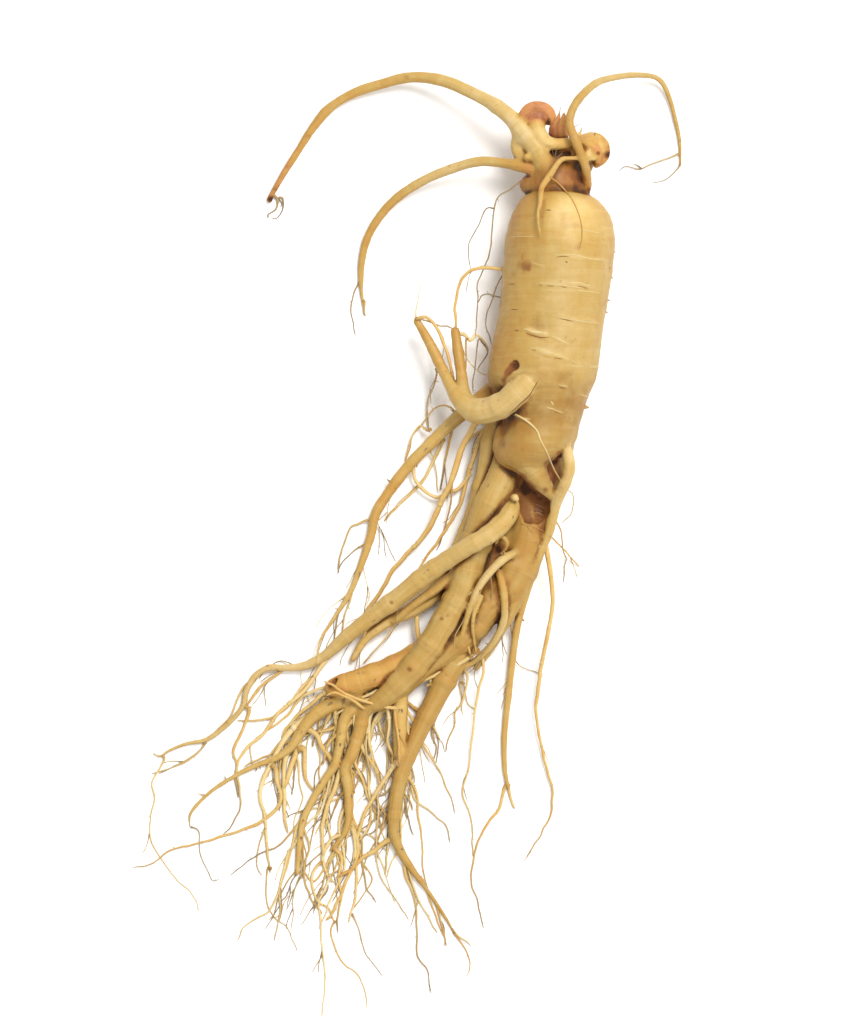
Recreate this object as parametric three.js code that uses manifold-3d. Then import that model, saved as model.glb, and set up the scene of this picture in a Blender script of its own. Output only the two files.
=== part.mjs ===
// A fresh ginseng root lying on its back on a flat surface, in millimetres, +Z up.
// It grew as one piece, so it is one solid: the thick main root, the rhizome neck on its
// shoulder with a stem scar and a bud, the side roots, the legs and the finer rootlets.
// The origin is on the resting flat under the middle of the main root, and +Y runs towards the neck.
import * as THREE from "three";
import { mergeVertices } from "three/addons/utils/BufferGeometryUtils.js";
import Module from "manifold-3d";

const wasm = await Module();
wasm.setup();

// Driving dimensions.
const mainRootHeight = 15.4; // centre line of the main root above the surface
const mainRootFlatness = 0.97; // depth of the main root against its width
const restingGap = 0.05; // least clearance under a rootlet that lies on the surface
const slabSize = 500; // plan size of the block that trims the resting flat
const slabDepth = 20;
const skinColour = 0xd2ab68;

// The main root from shoulder to crotch: centre x, y and half width.
const mainRoot = [
  [2.4, 41.6, 4],
  [2.5, 40.7, 8],
  [2.5, 39.4, 10.6],
  [2.6, 37.7, 12.4],
  [2.8, 35.6, 13.8],
  [3, 32.6, 15.1],
  [3, 27, 16],
  [2.1, 15, 16.3],
  [0.2, 3, 15.9],
  [-2, -9, 16.4],
  [-2.8, -15, 16],
  [-2.7, -21, 13.8],
  [-2.5, -27, 12],
  [-4.2, -33, 12],
  [-5.7, -37, 10.7],
  [-6.9, -40, 8.4],
  [-7.8, -42.4, 4.6],
];

// Limbs: points of x, y, height above the surface and radius, from the base outwards.
const limbs = {
  collar: [[-7.4, 43.2, 15.6, 1.9], [-5, 43.3, 17, 2.5], [-1, 42.9, 18.2, 2.6], [3, 42.5, 18.4, 2.3],
    [7, 42, 17.6, 1.8], [10.6, 41.9, 16.6, 1.2]],
  collarBack: [[-6, 43.4, 12, 3], [2, 43, 9.5, 3.6], [9.5, 43.4, 12, 3]],
  neck: [[2.2, 38, 15, 7], [1.7, 43.6, 15, 7.4], [1.6, 46.6, 15, 6.8], [2.4, 49.6, 14.5, 5.4],
    [4, 52.5, 14, 4.2]],
  neckSide: [[3, 44, 11, 4.4], [8, 47, 12, 3.6], [11, 51, 14, 3]],
  neckRear: [[-4, 51, 11, 3.4], [1, 54, 11, 2.4], [6.4, 54.6, 11, 2.4]],
  neckKnobLeft: [[-1, 47, 14, 4.6], [-5.4, 51.2, 14.6, 4], [-8, 55, 14.2, 3.2], [-9, 58, 13.8, 2.4]],
  neckKnobRight: [[3.6, 50.2, 14.6, 3.6], [7, 52.3, 16, 3.9], [9.9, 53.4, 17, 4.4],
    [12.3, 53.6, 17.2, 4.6], [13.5, 53.1, 17, 3.9]],
  budStalk: [[9, 55.2, 15.6, 1.8], [6.2, 55.4, 16.8, 1.8], [3.4, 55.5, 17.6, 1.75], [0.4, 55.4, 18.4, 1.8],
    [-2.4, 56.3, 19, 2.2], [-3.9, 58.8, 19, 2.5], [-4.3, 61, 18.8, 2.5], [-4.3, 62.4, 18.6, 2.3]],
  stemCap: [[-8.8, 61.8, 18.4, 1.1], [-8.2, 63.8, 18.8, 1.5], [-6.4, 65.5, 19.2, 1.8],
    [-3.9, 65.9, 19.4, 1.9], [-1.4, 65, 19.2, 1.9], [-0.3, 63.4, 18.8, 1.8], [-0.4, 61.9, 18.4, 1.2]],
  stemCapUnder: [[-7.7, 61.5, 18.6, 1.3], [-5.8, 62.9, 18.8, 2.1], [-3.2, 63.2, 18.8, 2.1],
    [-1.8, 62, 18.4, 1]],
  budScaleWide: [[2.6, 56.4, 14.6, 2.2], [1.7, 58.6, 15, 2.3], [1.5, 60.6, 15, 1.7], [2.2, 62.8, 15, 0.9],
    [2.7, 64.8, 14.6, 0.3]],
  budScaleNarrow: [[3.9, 56.6, 16, 1.7], [3.5, 59.4, 16.8, 1.6], [3.6, 61.6, 16.8, 1.2],
    [4, 64.4, 16.4, 0.5]],
  armLong: [[0, 45.5, 17, 2.9], [-2, 49.5, 18.6, 3], [-4.5, 54, 18.8, 2.9], [-9.4, 60.2, 18.2, 2.5],
    [-15, 65.4, 16.6, 2.15], [-24, 71.1, 13, 1.95], [-33, 75, 9.6, 1.8], [-41.4, 76.1, 6.6, 1.65],
    [-49.8, 74.4, 4.4, 1.55], [-58.5, 71.7, 3, 1.45], [-66, 67.5, 2.2, 1.35], [-70.5, 62.4, 1.9, 1.25],
    [-75, 55.5, 1.7, 1.1], [-79.6, 48.6, 1.5, 1], [-83.6, 41.4, 1.2, 0.8], [-84.2, 39.8, 1.1, 0.9]],
  armShort: [[-1, 45.6, 16.4, 2.2], [-5, 48, 17.4, 2], [-9, 49.1, 16.6, 1.75], [-13.5, 49.9, 14.9, 1.55],
    [-21, 50.6, 12.4, 1.5], [-28.5, 49, 9.8, 1.5], [-37.5, 45.3, 6.8, 1.45], [-45, 40.5, 4.4, 1.4],
    [-51, 34.5, 2.7, 1.3], [-55.2, 27.6, 1.7, 1.1], [-57, 20.4, 1.2, 0.85], [-56.8, 13.5, 0.8, 0.5],
    [-56.2, 7, 0.6, 0.3]],
  armHooked: [[10.6, 41.8, 15, 1.5], [10.7, 43.6, 17.4, 1.45], [10.3, 47.6, 20.8, 1.4],
    [8.9, 51.7, 22.6, 1.4], [7.1, 56.1, 23.8, 1.4], [5.5, 60.5, 24, 1.25], [5.7, 63.6, 23.4, 1.25],
    [7.4, 67.4, 22, 1.25], [10.2, 70.6, 19.8, 1.25], [15, 74.2, 15, 1.15], [22.5, 76.3, 9.4, 1],
    [30, 76.7, 5, 0.85], [33.8, 75, 3.4, 0.8], [36.4, 69.9, 1.8, 0.75], [38.1, 63.6, 1.2, 0.7],
    [39.3, 57.6, 0.9, 0.6], [39.6, 50.4, 0.7, 0.35]],
  armRaised: [[-1, -10.6, 22, 6], [-5.4, -14.6, 26, 4.9], [-9.4, -18.6, 26.6, 4.2],
    [-13.4, -22.2, 25.2, 3.8], [-18, -24.4, 22.4, 3.9], [-22.4, -24.6, 19.6, 3.7], [-25.6, -22.2, 17.4, 3],
    [-28.2, -18, 15.4, 2.3], [-31.4, -12.6, 13.6, 1.9], [-34.2, -7.2, 12.2, 1.6], [-37.2, -2, 11, 1.3],
    [-40, 2.6, 10, 0.9]],
  armRaisedFork: [[-25.4, -22, 17.6, 2.6], [-26.4, -16.6, 15.8, 1.9], [-27.2, -10.5, 14, 1.6],
    [-28, -4.5, 12.6, 1.5], [-28.6, -0.4, 11.6, 1.3]],
  sideRootOuter: [[-12, -15, 9, 4], [-18, -19, 9.2, 3.1], [-23.1, -21.9, 8.2, 2.3],
    [-28.5, -26.4, 6.4, 1.9], [-35.1, -32.6, 4.8, 1.8], [-41.7, -39.9, 3.5, 1.75],
    [-47.4, -47.4, 2.7, 1.65], [-52, -54.6, 2.2, 1.5], [-53.6, -61.5, 1.8, 1.3], [-56.4, -69.6, 1.4, 1.1],
    [-60, -78.6, 1.1, 0.85], [-65.1, -87, 1.6, 0.6], [-69.3, -94, 3.4, 0.42], [-69.9, -101.4, 4.9, 0.3]],
  legRear: [[-12.4, -18, 9, 5.2], [-15.4, -28, 7.6, 4.3], [-17, -36, 6.4, 3.9], [-18.9, -46, 5.6, 3.8],
    [-21.8, -56, 5, 3.7], [-25.4, -64.5, 4.4, 3.4], [-30.3, -73.8, 4.4, 3], [-36.3, -80.1, 4.8, 2.6],
    [-43, -84.6, 4.8, 2.3], [-49.8, -88.2, 4, 1.8], [-55.5, -93, 3, 1.3], [-59.4, -99, 2, 0.9]],
  legRight: [[-4, -32, 9, 8.5], [-4.2, -44, 8.2, 7.4], [-5, -54, 7.6, 6.9], [-6.8, -63, 7.2, 6.5],
    [-8.6, -69.6, 7, 6.3], [-12.6, -77, 6.8, 6.1], [-19, -83.4, 6.6, 5.9], [-25, -90.6, 6, 5.1],
    [-31.6, -96.8, 5.4, 4.1], [-38, -101.6, 5, 3.5], [-44.4, -107.4, 4.6, 3], [-49.5, -112.5, 4, 2.4]],
  legRightTail: [[-10.4, -73, 7, 5], [-12, -80.4, 7, 3.7], [-13, -85.6, 7, 2.4], [-15, -91.2, 6, 1.4],
    [-18.4, -96.8, 4.4, 1.2], [-22, -101.6, 2.8, 0.9]],
  legLower: [[-17, -80, 4.8, 4], [-23.6, -91, 4, 3.9], [-29.6, -101.4, 3.6, 3.6], [-34.2, -111, 3.3, 3.2],
    [-40, -122.4, 2.9, 2.8], [-44.2, -132.4, 2.6, 2.35], [-46.6, -142, 2.3, 2.15], [-47.1, -151, 2, 1.75],
    [-44.6, -157.6, 1.7, 1.35], [-40.8, -163.2, 1.3, 1.05], [-35.1, -171, 0.9, 0.72],
    [-30, -178.5, 0.7, 0.5], [-27, -184, 0.6, 0.38], [-24.2, -189, 0.5, 0.26], [-23.7, -194, 0.4, 0.2]],
  legLeft: [[-10, -33, 9.6, 4.4], [-12.6, -39, 11.2, 4.7], [-15, -45.4, 12, 4.8], [-18.4, -52.8, 12, 4.9],
    [-21.4, -60, 11, 4.9], [-23.8, -69, 10, 4.75], [-26.2, -77.4, 9.8, 4.5], [-30.4, -85.6, 9.8, 4.2],
    [-35, -93.4, 9.6, 3.9], [-40.6, -100.8, 8.8, 3.7], [-46, -106.6, 7.6, 3.3], [-50.6, -111, 6.4, 2.8],
    [-54.6, -113.8, 5.2, 1.9]],
  legBroken: [[-33, -93, 7, 3.6], [-41.4, -98.4, 5.8, 3.7], [-49.5, -102.6, 5, 3.7],
    [-57, -105.4, 4.6, 3.6], [-62.6, -107, 4.2, 3.3], [-65, -107.6, 4.1, 2.7]],
  crotchLobe: [[-14.2, -31.4, 15, 2.2], [-14.5, -35.2, 15.8, 2.3], [-12.6, -36.9, 17.6, 2.6],
    [-9.4, -38.3, 19, 3.1], [-6.4, -40.8, 19.2, 3.5], [-3.8, -44.1, 18.4, 3.2], [-1.8, -46.8, 17.2, 2.6],
    [0.2, -49.2, 15.8, 1.8]],
  crotchBack: [[0, -36, 8, 8], [1, -44, 7.6, 6], [0, -52, 7, 5]],
  sideRootLooped: [[3, -34, 16, 2], [4.2, -35.5, 19.4, 1.8], [5, -38.2, 21.2, 1.75],
    [5.4, -42, 20.8, 1.75], [4.1, -46.4, 19, 1.75], [2.4, -50, 16.6, 1.7], [1.1, -53.8, 14.6, 1.65],
    [0.2, -58, 13, 1.6], [-1.2, -63, 11.4, 1.45], [-4.2, -70.6, 9.4, 1.3], [-7.2, -79.6, 6.8, 1.25],
    [-9.6, -89, 4.4, 1.2], [-11.2, -100.5, 2.4, 1.15], [-12.6, -112.5, 1.6, 1.05],
    [-13.6, -124.5, 1.2, 0.9], [-13.5, -132.6, 1, 0.75], [-12.3, -138, 0.9, 0.6]],
  sideRootLong: [[-9, -47.4, 12, 2.6], [-11.2, -52.6, 15.6, 2.8], [-13.8, -57.4, 17.8, 2.8],
    [-18.8, -61.6, 18.8, 2.65], [-24.6, -65, 18.2, 2.6], [-31.5, -69.6, 15, 2.75],
    [-39, -75.4, 11.6, 2.95], [-46.5, -81.2, 9, 2.85], [-54, -86.7, 6.8, 2.5], [-61.5, -92.9, 4.8, 2],
    [-67.5, -98.1, 3.2, 1.6], [-73.5, -101.1, 2.4, 1.3], [-79.5, -101.7, 2, 1.1],
    [-84.6, -101.6, 1.7, 1.05], [-88.8, -104.1, 1.5, 1], [-91.5, -108.6, 1.3, 0.95],
    [-92.4, -113.1, 1.2, 0.85], [-96.6, -118.2, 1, 0.75], [-102.9, -123.2, 0.9, 0.65],
    [-109.5, -124.6, 0.8, 0.55], [-114.6, -126.6, 0.7, 0.45], [-117.6, -128.4, 0.6, 0.35],
    [-120, -126.9, 0.5, 0.22]],
  legWeb: [[-11, -58, 6.4, 5], [-15.4, -67, 6, 4.8], [-19.4, -76, 6, 4.6], [-26, -87, 5.6, 4]],
  sideRootUnder: [[-28, -73, 10, 1.6], [-33, -76.6, 9.4, 1.6], [-39.6, -81.4, 7.8, 1.3],
    [-47, -87.6, 6, 0.9]],
  saddleRoot: [[-10.8, -66.8, 12.4, 1.1], [-12.8, -67.9, 14, 1.25], [-15.2, -69.6, 14.8, 1.25],
    [-18.6, -73.2, 14.8, 1.2], [-21.6, -77.8, 14, 1.15], [-24, -84, 12.8, 1.1], [-26, -90.6, 11, 0.85],
    [-27.4, -95, 10, 0.5]],
  hipRoot: [[-15.4, -72.6, 12, 1], [-14.2, -77, 13, 1.2], [-13.6, -82.4, 12.6, 1.2],
    [-13.8, -87, 11, 1.15], [-15.8, -92, 8.6, 1.1], [-19.4, -96.6, 6.4, 1], [-24.9, -101, 4.8, 0.8],
    [-31, -103.6, 4.2, 0.6], [-37, -107, 4.4, 0.45]],
  beardCentre: [[-56, -115, 5, 2], [-57.4, -121.5, 4.2, 1.9], [-59.6, -128, 3.6, 1.75],
    [-61.6, -132, 3, 1.6], [-60.8, -137.6, 2.4, 1.55], [-60.6, -143.4, 2, 1.4], [-60.8, -148.4, 1.6, 1.1],
    [-62.4, -152.6, 1.3, 0.8], [-66, -156.6, 1, 0.5]],
  beardInner: [[-57, -112, 5, 1.9], [-61.2, -116.4, 4, 1.7], [-62.8, -123.4, 3.2, 1.5],
    [-64.4, -130.4, 2.6, 1.4], [-67.4, -134.6, 2, 1.25], [-71, -140.4, 1.6, 1.15],
    [-74.2, -147.4, 1.3, 1.05], [-75.2, -154, 1.1, 0.9], [-76, -163.6, 0.9, 0.7]],
  beardOuter: [[-58, -108.5, 4, 2.3], [-62, -111.4, 3.6, 2.2], [-66.4, -113.2, 3.2, 2.1],
    [-71, -116, 2.8, 1.9], [-74.8, -120.4, 2.3, 1.6], [-78, -125.4, 1.8, 1.35], [-82.4, -128.8, 1.4, 1.05],
    [-88.5, -131.2, 1.1, 0.85], [-94.5, -134.1, 1, 0.72], [-102, -138.9, 0.8, 0.6],
    [-108, -145.2, 0.7, 0.48], [-108.3, -149.6, 0.6, 0.3]],
  beardBridge: [[-44, -104, 6.6, 1.9], [-46, -109.6, 5.4, 1.8], [-46.6, -116, 4.2, 1.7],
    [-46.2, -122.4, 3.4, 1.6], [-45.6, -129, 2.8, 1.4], [-45.6, -135, 2.2, 1.1]],
};

// Rootlets: the height that the tip ends at, the radius at the base and at the tip, and plan points.
// Each grows from the nearest centre line of what is listed before it.
const rootlets = [
  // off the neck and the three arms
  [30.2, 0.5, 0.3, [-0.6, 46], [3, 43.8], [6.6, 39.6], [9, 34.5], [9.9, 29.4], [8.4, 23]],
  [0.6, 0.5, 0.35, [-55.8, 9], [-55.8, 5.1]],
  // round the raised arm
  [10.6, 0.6, 0.5, [-14.1, 18.7], [-21, 19.2], [-24, 18], [-27, 13.5], [-28.2, 9], [-28.2, 0.4]],
  [14.5, 0.5, 0.45, [-37.5, 4], [-34.5, 1.5], [-30.6, -4.5], [-29.4, -11.4], [-28.6, -18]],
  [9, 0.8, 0.3, [-25.5, -1.5], [-24, -3.6], [-22.5, -1.5], [-21, -2.1], [-18.6, -6]],
  // off the outer side root
  [2.5, 0.6, 0.7, [-39.6, -46.8], [-36.6, -49.2], [-34.2, -50.1], [-30.9, -48.9], [-27, -47.1],
    [-23.4, -43]],
  // behind the left leg
  [0.9, 1.3, 0.65, [-23.4, -29.6], [-26.4, -35.1], [-29.1, -43.5], [-32.7, -51.6], [-36, -59.1],
    [-41.1, -65.4], [-46.8, -72], [-51.9, -79.5], [-55.5, -86]],
  [0.6, 1, 0.3, [-21.9, -37.5], [-24.9, -45], [-26.4, -52.5], [-28.5, -57], [-33, -62.4], [-36.6, -67.5],
    [-43.5, -78.6]],
  [1.4, 0.7, 0.5, [-24, -33], [-26.1, -36.6], [-28.3, -41]],
  [0.6, 0.5, 0.3, [-30.3, -51], [-32.4, -58.5], [-33.9, -64.5], [-39, -74.4]],
  [4, 0.8, 0.75, [-39.9, -87.6], [-39.3, -95]],
  [3, 0.5, 0.35, [-49.5, -93], [-53.4, -97.5], [-56.4, -101]],
  [3, 0.55, 0.4, [-56.1, -93], [-57, -98]],
  // down the right side
  [0.4, 0.95, 0.25, [-0.6, -70.5], [0.3, -78], [0, -85.5], [-1.8, -94.5], [-3.3, -103.5], [-3.9, -114],
    [-3.3, -121.5], [-1.2, -129], [0.3, -136], [0.2, -142], [-1, -148], [-3, -153.6], [-7.8, -159.6]],
  [0.4, 0.55, 0.22, [-15, -144], [-18, -147.6], [-21.6, -154.5], [-23.4, -160.5], [-24, -167.4],
    [-22.2, -171], [-19.8, -180.6]],
  [0.6, 0.6, 0.4, [-11.2, -141.4], [-10.2, -144.3]],
  [0.4, 0.55, 0.25, [-19.8, -102.6], [-21.3, -108], [-22.5, -115.5], [-24, -129], [-25.8, -137.4],
    [-25.2, -141.9], [-23.7, -147], [-23.5, -159]],
  // off the end of the right leg
  [0.4, 0.5, 0.22, [-43.5, -162], [-41.7, -168], [-40.2, -173.4], [-39.9, -180], [-39.3, -189],
    [-36.6, -193.5], [-36, -200]],
  [0.8, 0.9, 0.5, [-50.1, -153.9], [-52.5, -156.6], [-56.4, -159], [-60, -160.8], [-64.5, -161.4]],
  // the beard below the left leg
  [0.7, 0.8, 0.5, [-65.4, -153], [-68.4, -158.4], [-67.5, -162.6], [-65.4, -166.5]],
  [0.4, 0.6, 0.3, [-63.6, -165], [-62.7, -171], [-63.6, -177], [-64.2, -181.5]],
  [0.5, 0.65, 0.35, [-58.5, -156], [-58.2, -165], [-58.2, -171], [-60.3, -178.5]],
  [0.4, 0.5, 0.35, [-71.4, -163.5], [-71.4, -168], [-69.6, -172.5], [-66.6, -174.6], [-64.5, -178.5]],
  [0.4, 0.5, 0.22, [-67.5, -168], [-69.6, -172.5], [-69, -178.5], [-68.7, -186], [-67.8, -193.5],
    [-68.4, -201], [-68.7, -207.6]],
  [0.9, 0.8, 0.6, [-64.8, -138], [-67.5, -145.5], [-68.4, -153], [-68.4, -159]],
  [0.8, 0.8, 0.5, [-49.6, -135], [-53.4, -141], [-56.4, -147], [-57.6, -153], [-59.4, -159.6]],
  // the left bundle
  [0.4, 0.8, 0.22, [-69, -101.4], [-73.5, -108], [-78.6, -112.5], [-82.5, -116.4], [-86.4, -121.5],
    [-91.5, -126], [-94.2, -132], [-93.6, -138], [-93, -143.4], [-95.4, -148.5], [-98.4, -152.1]],
  [0.6, 0.6, 0.3, [-75, -108], [-79.5, -114], [-84, -117], [-90, -117.9], [-94.5, -117.6]],
  [0.4, 1.2, 0.35, [-75, -117.8], [-80.1, -122.4], [-83.4, -129.6], [-86.4, -135.6], [-87.6, -141],
    [-86.1, -146.4], [-85.2, -153], [-84.6, -159.6], [-84, -163.5]],
  [0.4, 0.8, 0.2, [-82.2, -135], [-81, -140.1], [-82.2, -144], [-87.6, -148.5], [-91.5, -150],
    [-96, -151.8], [-106.5, -154.5], [-114, -156.6], [-120, -160.5], [-125.7, -162]],
  [0.6, 0.9, 0.55, [-79.8, -130.5], [-80.1, -138], [-79.8, -145.5], [-78.9, -151.5]],
  [0.8, 1.1, 0.8, [-76.4, -127.4], [-78.9, -135]],
  [0.8, 1, 0.5, [-73.8, -130.5], [-73.5, -135.6], [-71.4, -138.6]],
  [1.8, 0.9, 0.7, [-68.4, -126], [-65.2, -131]],
  [0.5, 0.6, 0.35, [-91.8, -118.5], [-95.4, -126.6], [-94.2, -130.5], [-94.8, -135.6], [-93.6, -141]],
  [1.2, 0.5, 0.45, [-84, -105], [-87.6, -108], [-91, -113.4]],
];

// A radius of this size or more gets this many sides.
const sidesByRadius = [[5, 10], [2.4, 8], [1.4, 6], [0.7, 5], [0, 3]];

function sidesFor(radius) {
  return sidesByRadius.find(([least]) => radius >= least)[1];
}

// A closed tapering tube through stations of x, y, height and radius. Both ends close on one point.
function tube(stations, sides, flatness = 1) {
  const line = new THREE.CatmullRomCurve3(stations.map(([x, y, z]) => new THREE.Vector3(x, y, z)));
  const last = stations.length - 1;
  const points = [];
  const faces = [];
  const side = new THREE.Vector3();
  const up = new THREE.Vector3();
  stations.forEach(([x, y, z, radius], i) => {
    const ahead = line.getTangent(i / last);
    side.set(ahead.y, -ahead.x, 0).normalize();
    up.crossVectors(side, ahead);
    for (let k = 0; k < sides; k++) {
      const angle = (2 * Math.PI * k) / sides;
      const across = radius * Math.cos(angle);
      const rise = radius * Math.sin(angle) * flatness;
      points.push(
        x + side.x * across + up.x * rise,
        y + side.y * across + up.y * rise,
        z + side.z * across + up.z * rise,
      );
    }
  });
  for (let i = 0; i < last; i++) {
    for (let k = 0; k < sides; k++) {
      const a = i * sides + k;
      const b = i * sides + ((k + 1) % sides);
      faces.push(a, a + sides, b, b, a + sides, b + sides);
    }
  }
  const tips = [[stations[0], line.getTangent(0).negate()], [stations[last], line.getTangent(1)]];
  tips.forEach(([[x, y, z, radius], out], end) => {
    const tip = points.length / 3;
    points.push(x + out.x * radius * 0.5, y + out.y * radius * 0.5, z + out.z * radius * 0.5);
    for (let k = 0; k < sides; k++) {
      const a = end * last * sides + k;
      const b = end * last * sides + ((k + 1) % sides);
      faces.push(...(end ? [b, a, tip] : [a, b, tip]));
    }
  });
  return new THREE.BufferGeometry()
    .setAttribute("position", new THREE.Float32BufferAttribute(points, 3))
    .setIndex(faces);
}

// A closed geometry as a manifold-3d solid.
function solid(geometry) {
  const plain = geometry.clone();
  plain.deleteAttribute("normal");
  plain.deleteAttribute("uv");
  const merged = mergeVertices(plain, 1e-4);
  const vertProperties = merged.attributes.position.array;
  const triVerts = new Uint32Array(merged.index.array);
  const mesh = { numProp: 3, vertProperties, triVerts };
  return new wasm.Manifold(new wasm.Mesh(mesh));
}

function geometryOf(manifold) {
  const mesh = manifold.getMesh();
  const geometry = new THREE.BufferGeometry()
    .setAttribute("position", new THREE.BufferAttribute(mesh.vertProperties, 3))
    .setIndex(new THREE.BufferAttribute(mesh.triVerts, 1));
  geometry.computeVertexNormals();
  return geometry;
}

// The station on the grown centre lines that lies nearest to a plan point.
function nearestStation(grown, [x, y]) {
  return grown.reduce((best, station) =>
    Math.hypot(station[0] - x, station[1] - y) < Math.hypot(best[0] - x, best[1] - y) ? station : best);
}

// A rootlet's stations: it leaves its parent's centre line, sinks quickly and lies at its end height.
function rootletStations(grown, [endHeight, baseRadius, tipRadius, ...plan]) {
  const [x, y, baseHeight] = nearestStation(grown, plan[0]);
  const route = [[x, y], ...plan];
  const last = route.length - 1;
  return route.map(([px, py], i) => {
    const share = i / last;
    const radius = baseRadius + (tipRadius - baseRadius) * share;
    const height = endHeight + (baseHeight - endHeight) * (1 - share) ** 2;
    return [px, py, Math.max(height, radius + restingGap), radius];
  });
}

// Centre line stations at close spacing, for rootlets to grow from.
function denseStations(stations, perSpan = 4) {
  return stations.slice(1).flatMap((end, i) =>
    Array.from({ length: perSpan }, (_, k) =>
      end.map((value, axis) => stations[i][axis] + ((value - stations[i][axis]) * (k + 1)) / perSpan)));
}

function growRoot() {
  const mainStations = mainRoot.map(([x, y, halfWidth]) => [x, y, mainRootHeight, halfWidth]);
  let root = solid(tube(mainStations, 24, mainRootFlatness));
  const grown = denseStations(mainStations);
  for (const stations of Object.values(limbs)) {
    const widest = Math.max(...stations.map((station) => station[3]));
    root = root.add(solid(tube(stations, sidesFor(widest))));
    grown.push(...denseStations(stations));
  }
  for (const rootlet of rootlets) {
    const stations = rootletStations(grown, rootlet);
    root = root.add(solid(tube(stations, sidesFor(rootlet[1]))));
    grown.push(...denseStations(stations));
  }
  const slab = new THREE.BoxGeometry(slabSize, slabSize, slabDepth).translate(0, 0, -slabDepth / 2);
  return root.subtract(solid(slab));
}

const ginsengRoot = new THREE.Mesh(
  geometryOf(growRoot()),
  new THREE.MeshStandardMaterial({ color: skinColour, roughness: 0.55, metalness: 0 }),
);
ginsengRoot.name = "ginseng_root";

const part = new THREE.Group();
part.add(ginsengRoot);
export default part;
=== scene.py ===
import math
import random

import bpy
import numpy as np
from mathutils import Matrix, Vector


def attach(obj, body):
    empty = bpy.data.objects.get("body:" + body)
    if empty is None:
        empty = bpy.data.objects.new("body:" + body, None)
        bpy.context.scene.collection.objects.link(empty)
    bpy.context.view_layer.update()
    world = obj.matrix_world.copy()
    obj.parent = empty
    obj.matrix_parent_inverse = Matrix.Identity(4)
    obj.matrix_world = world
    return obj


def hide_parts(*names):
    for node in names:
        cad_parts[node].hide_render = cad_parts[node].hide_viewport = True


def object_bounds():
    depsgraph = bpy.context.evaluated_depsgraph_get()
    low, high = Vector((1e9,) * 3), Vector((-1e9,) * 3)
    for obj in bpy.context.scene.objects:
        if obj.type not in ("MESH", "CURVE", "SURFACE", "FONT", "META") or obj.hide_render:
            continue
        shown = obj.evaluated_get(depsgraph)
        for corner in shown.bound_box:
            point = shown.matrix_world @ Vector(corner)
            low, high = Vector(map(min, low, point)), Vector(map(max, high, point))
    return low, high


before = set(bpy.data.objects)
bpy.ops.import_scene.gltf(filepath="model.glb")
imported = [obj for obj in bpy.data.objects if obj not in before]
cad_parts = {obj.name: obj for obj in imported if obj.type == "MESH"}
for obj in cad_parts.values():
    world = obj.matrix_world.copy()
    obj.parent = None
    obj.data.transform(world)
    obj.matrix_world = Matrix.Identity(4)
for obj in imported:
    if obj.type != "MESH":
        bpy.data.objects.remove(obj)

import openvdb
from mathutils import Vector
from mathutils.bvhtree import BVHTree

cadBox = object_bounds()
mm = 0.001  # the tables below are in millimetres, in the CAD frame


def addObject(name, data):
    made = bpy.data.objects.new(name, data)
    bpy.context.scene.collection.objects.link(made)
    return made


def addLayers(mesh, layers):
    # one number for each vertex, read by the sweep and by the materials
    for key, values in layers.items():
        mesh.attributes.new(key, "FLOAT", "POINT").data.foreach_set("value", np.array(values, np.float32))


def addPiece(name, mesh):
    piece = addObject(name, mesh)
    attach(piece, "root")
    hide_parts("ginseng_root")


# camera straight above, square to the surface the root lies on
cameraSetup = {"lens": 180, "sensor": 36, "viewHeight": 304.8, "centre": (-37.8, -53.4), "focusHeight": 10}
camData = bpy.data.cameras.new("camera")
camData.lens, camData.sensor_width = cameraSetup["lens"], cameraSetup["sensor"]
cam = addObject("camera", camData)
distance = cameraSetup["lens"] / cameraSetup["sensor"] * cameraSetup["viewHeight"]
cam.location = [v * mm for v in (*cameraSetup["centre"], distance + cameraSetup["focusHeight"])]
bpy.context.scene.camera = cam
print("camera placed")

# main root: sections are centre x, y and half width, from shoulder to crotch; waves keep it from being quite
# round: height, turns round it, pace along it and start
mainRoot = {
    "height": 15.4,
    "flatness": 0.97,
    "sections": [
        (2.4, 41.9, 0.6), (2.4, 41.5, 4.6), (2.5, 40.7, 8), (2.5, 39.4, 10.6), (2.6, 37.7, 12.4),
        (2.8, 35.6, 13.8), (3, 32.6, 15.1), (3, 27, 16), (2.7, 21, 16.2), (2.1, 15, 16.3), (1.2, 9, 16.1),
        (0.2, 3, 15.9), (-0.9, -3, 16.2), (-2, -9, 16.4), (-2.8, -15, 16), (-2.7, -21, 13.8),
        (-2.5, -27, 12), (-4.2, -33, 12), (-5.7, -37, 10.7), (-6.9, -40, 8.4), (-7.8, -42.4, 4.6),
        (-8, -43.6, 0.8),
    ],
    "waves": [(0.28, 2, 0.07, 0.6), (0.2, 3, -0.11, 0)],
    "bulges": (0.12, 0.31),  # height, pace along it
}

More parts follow.
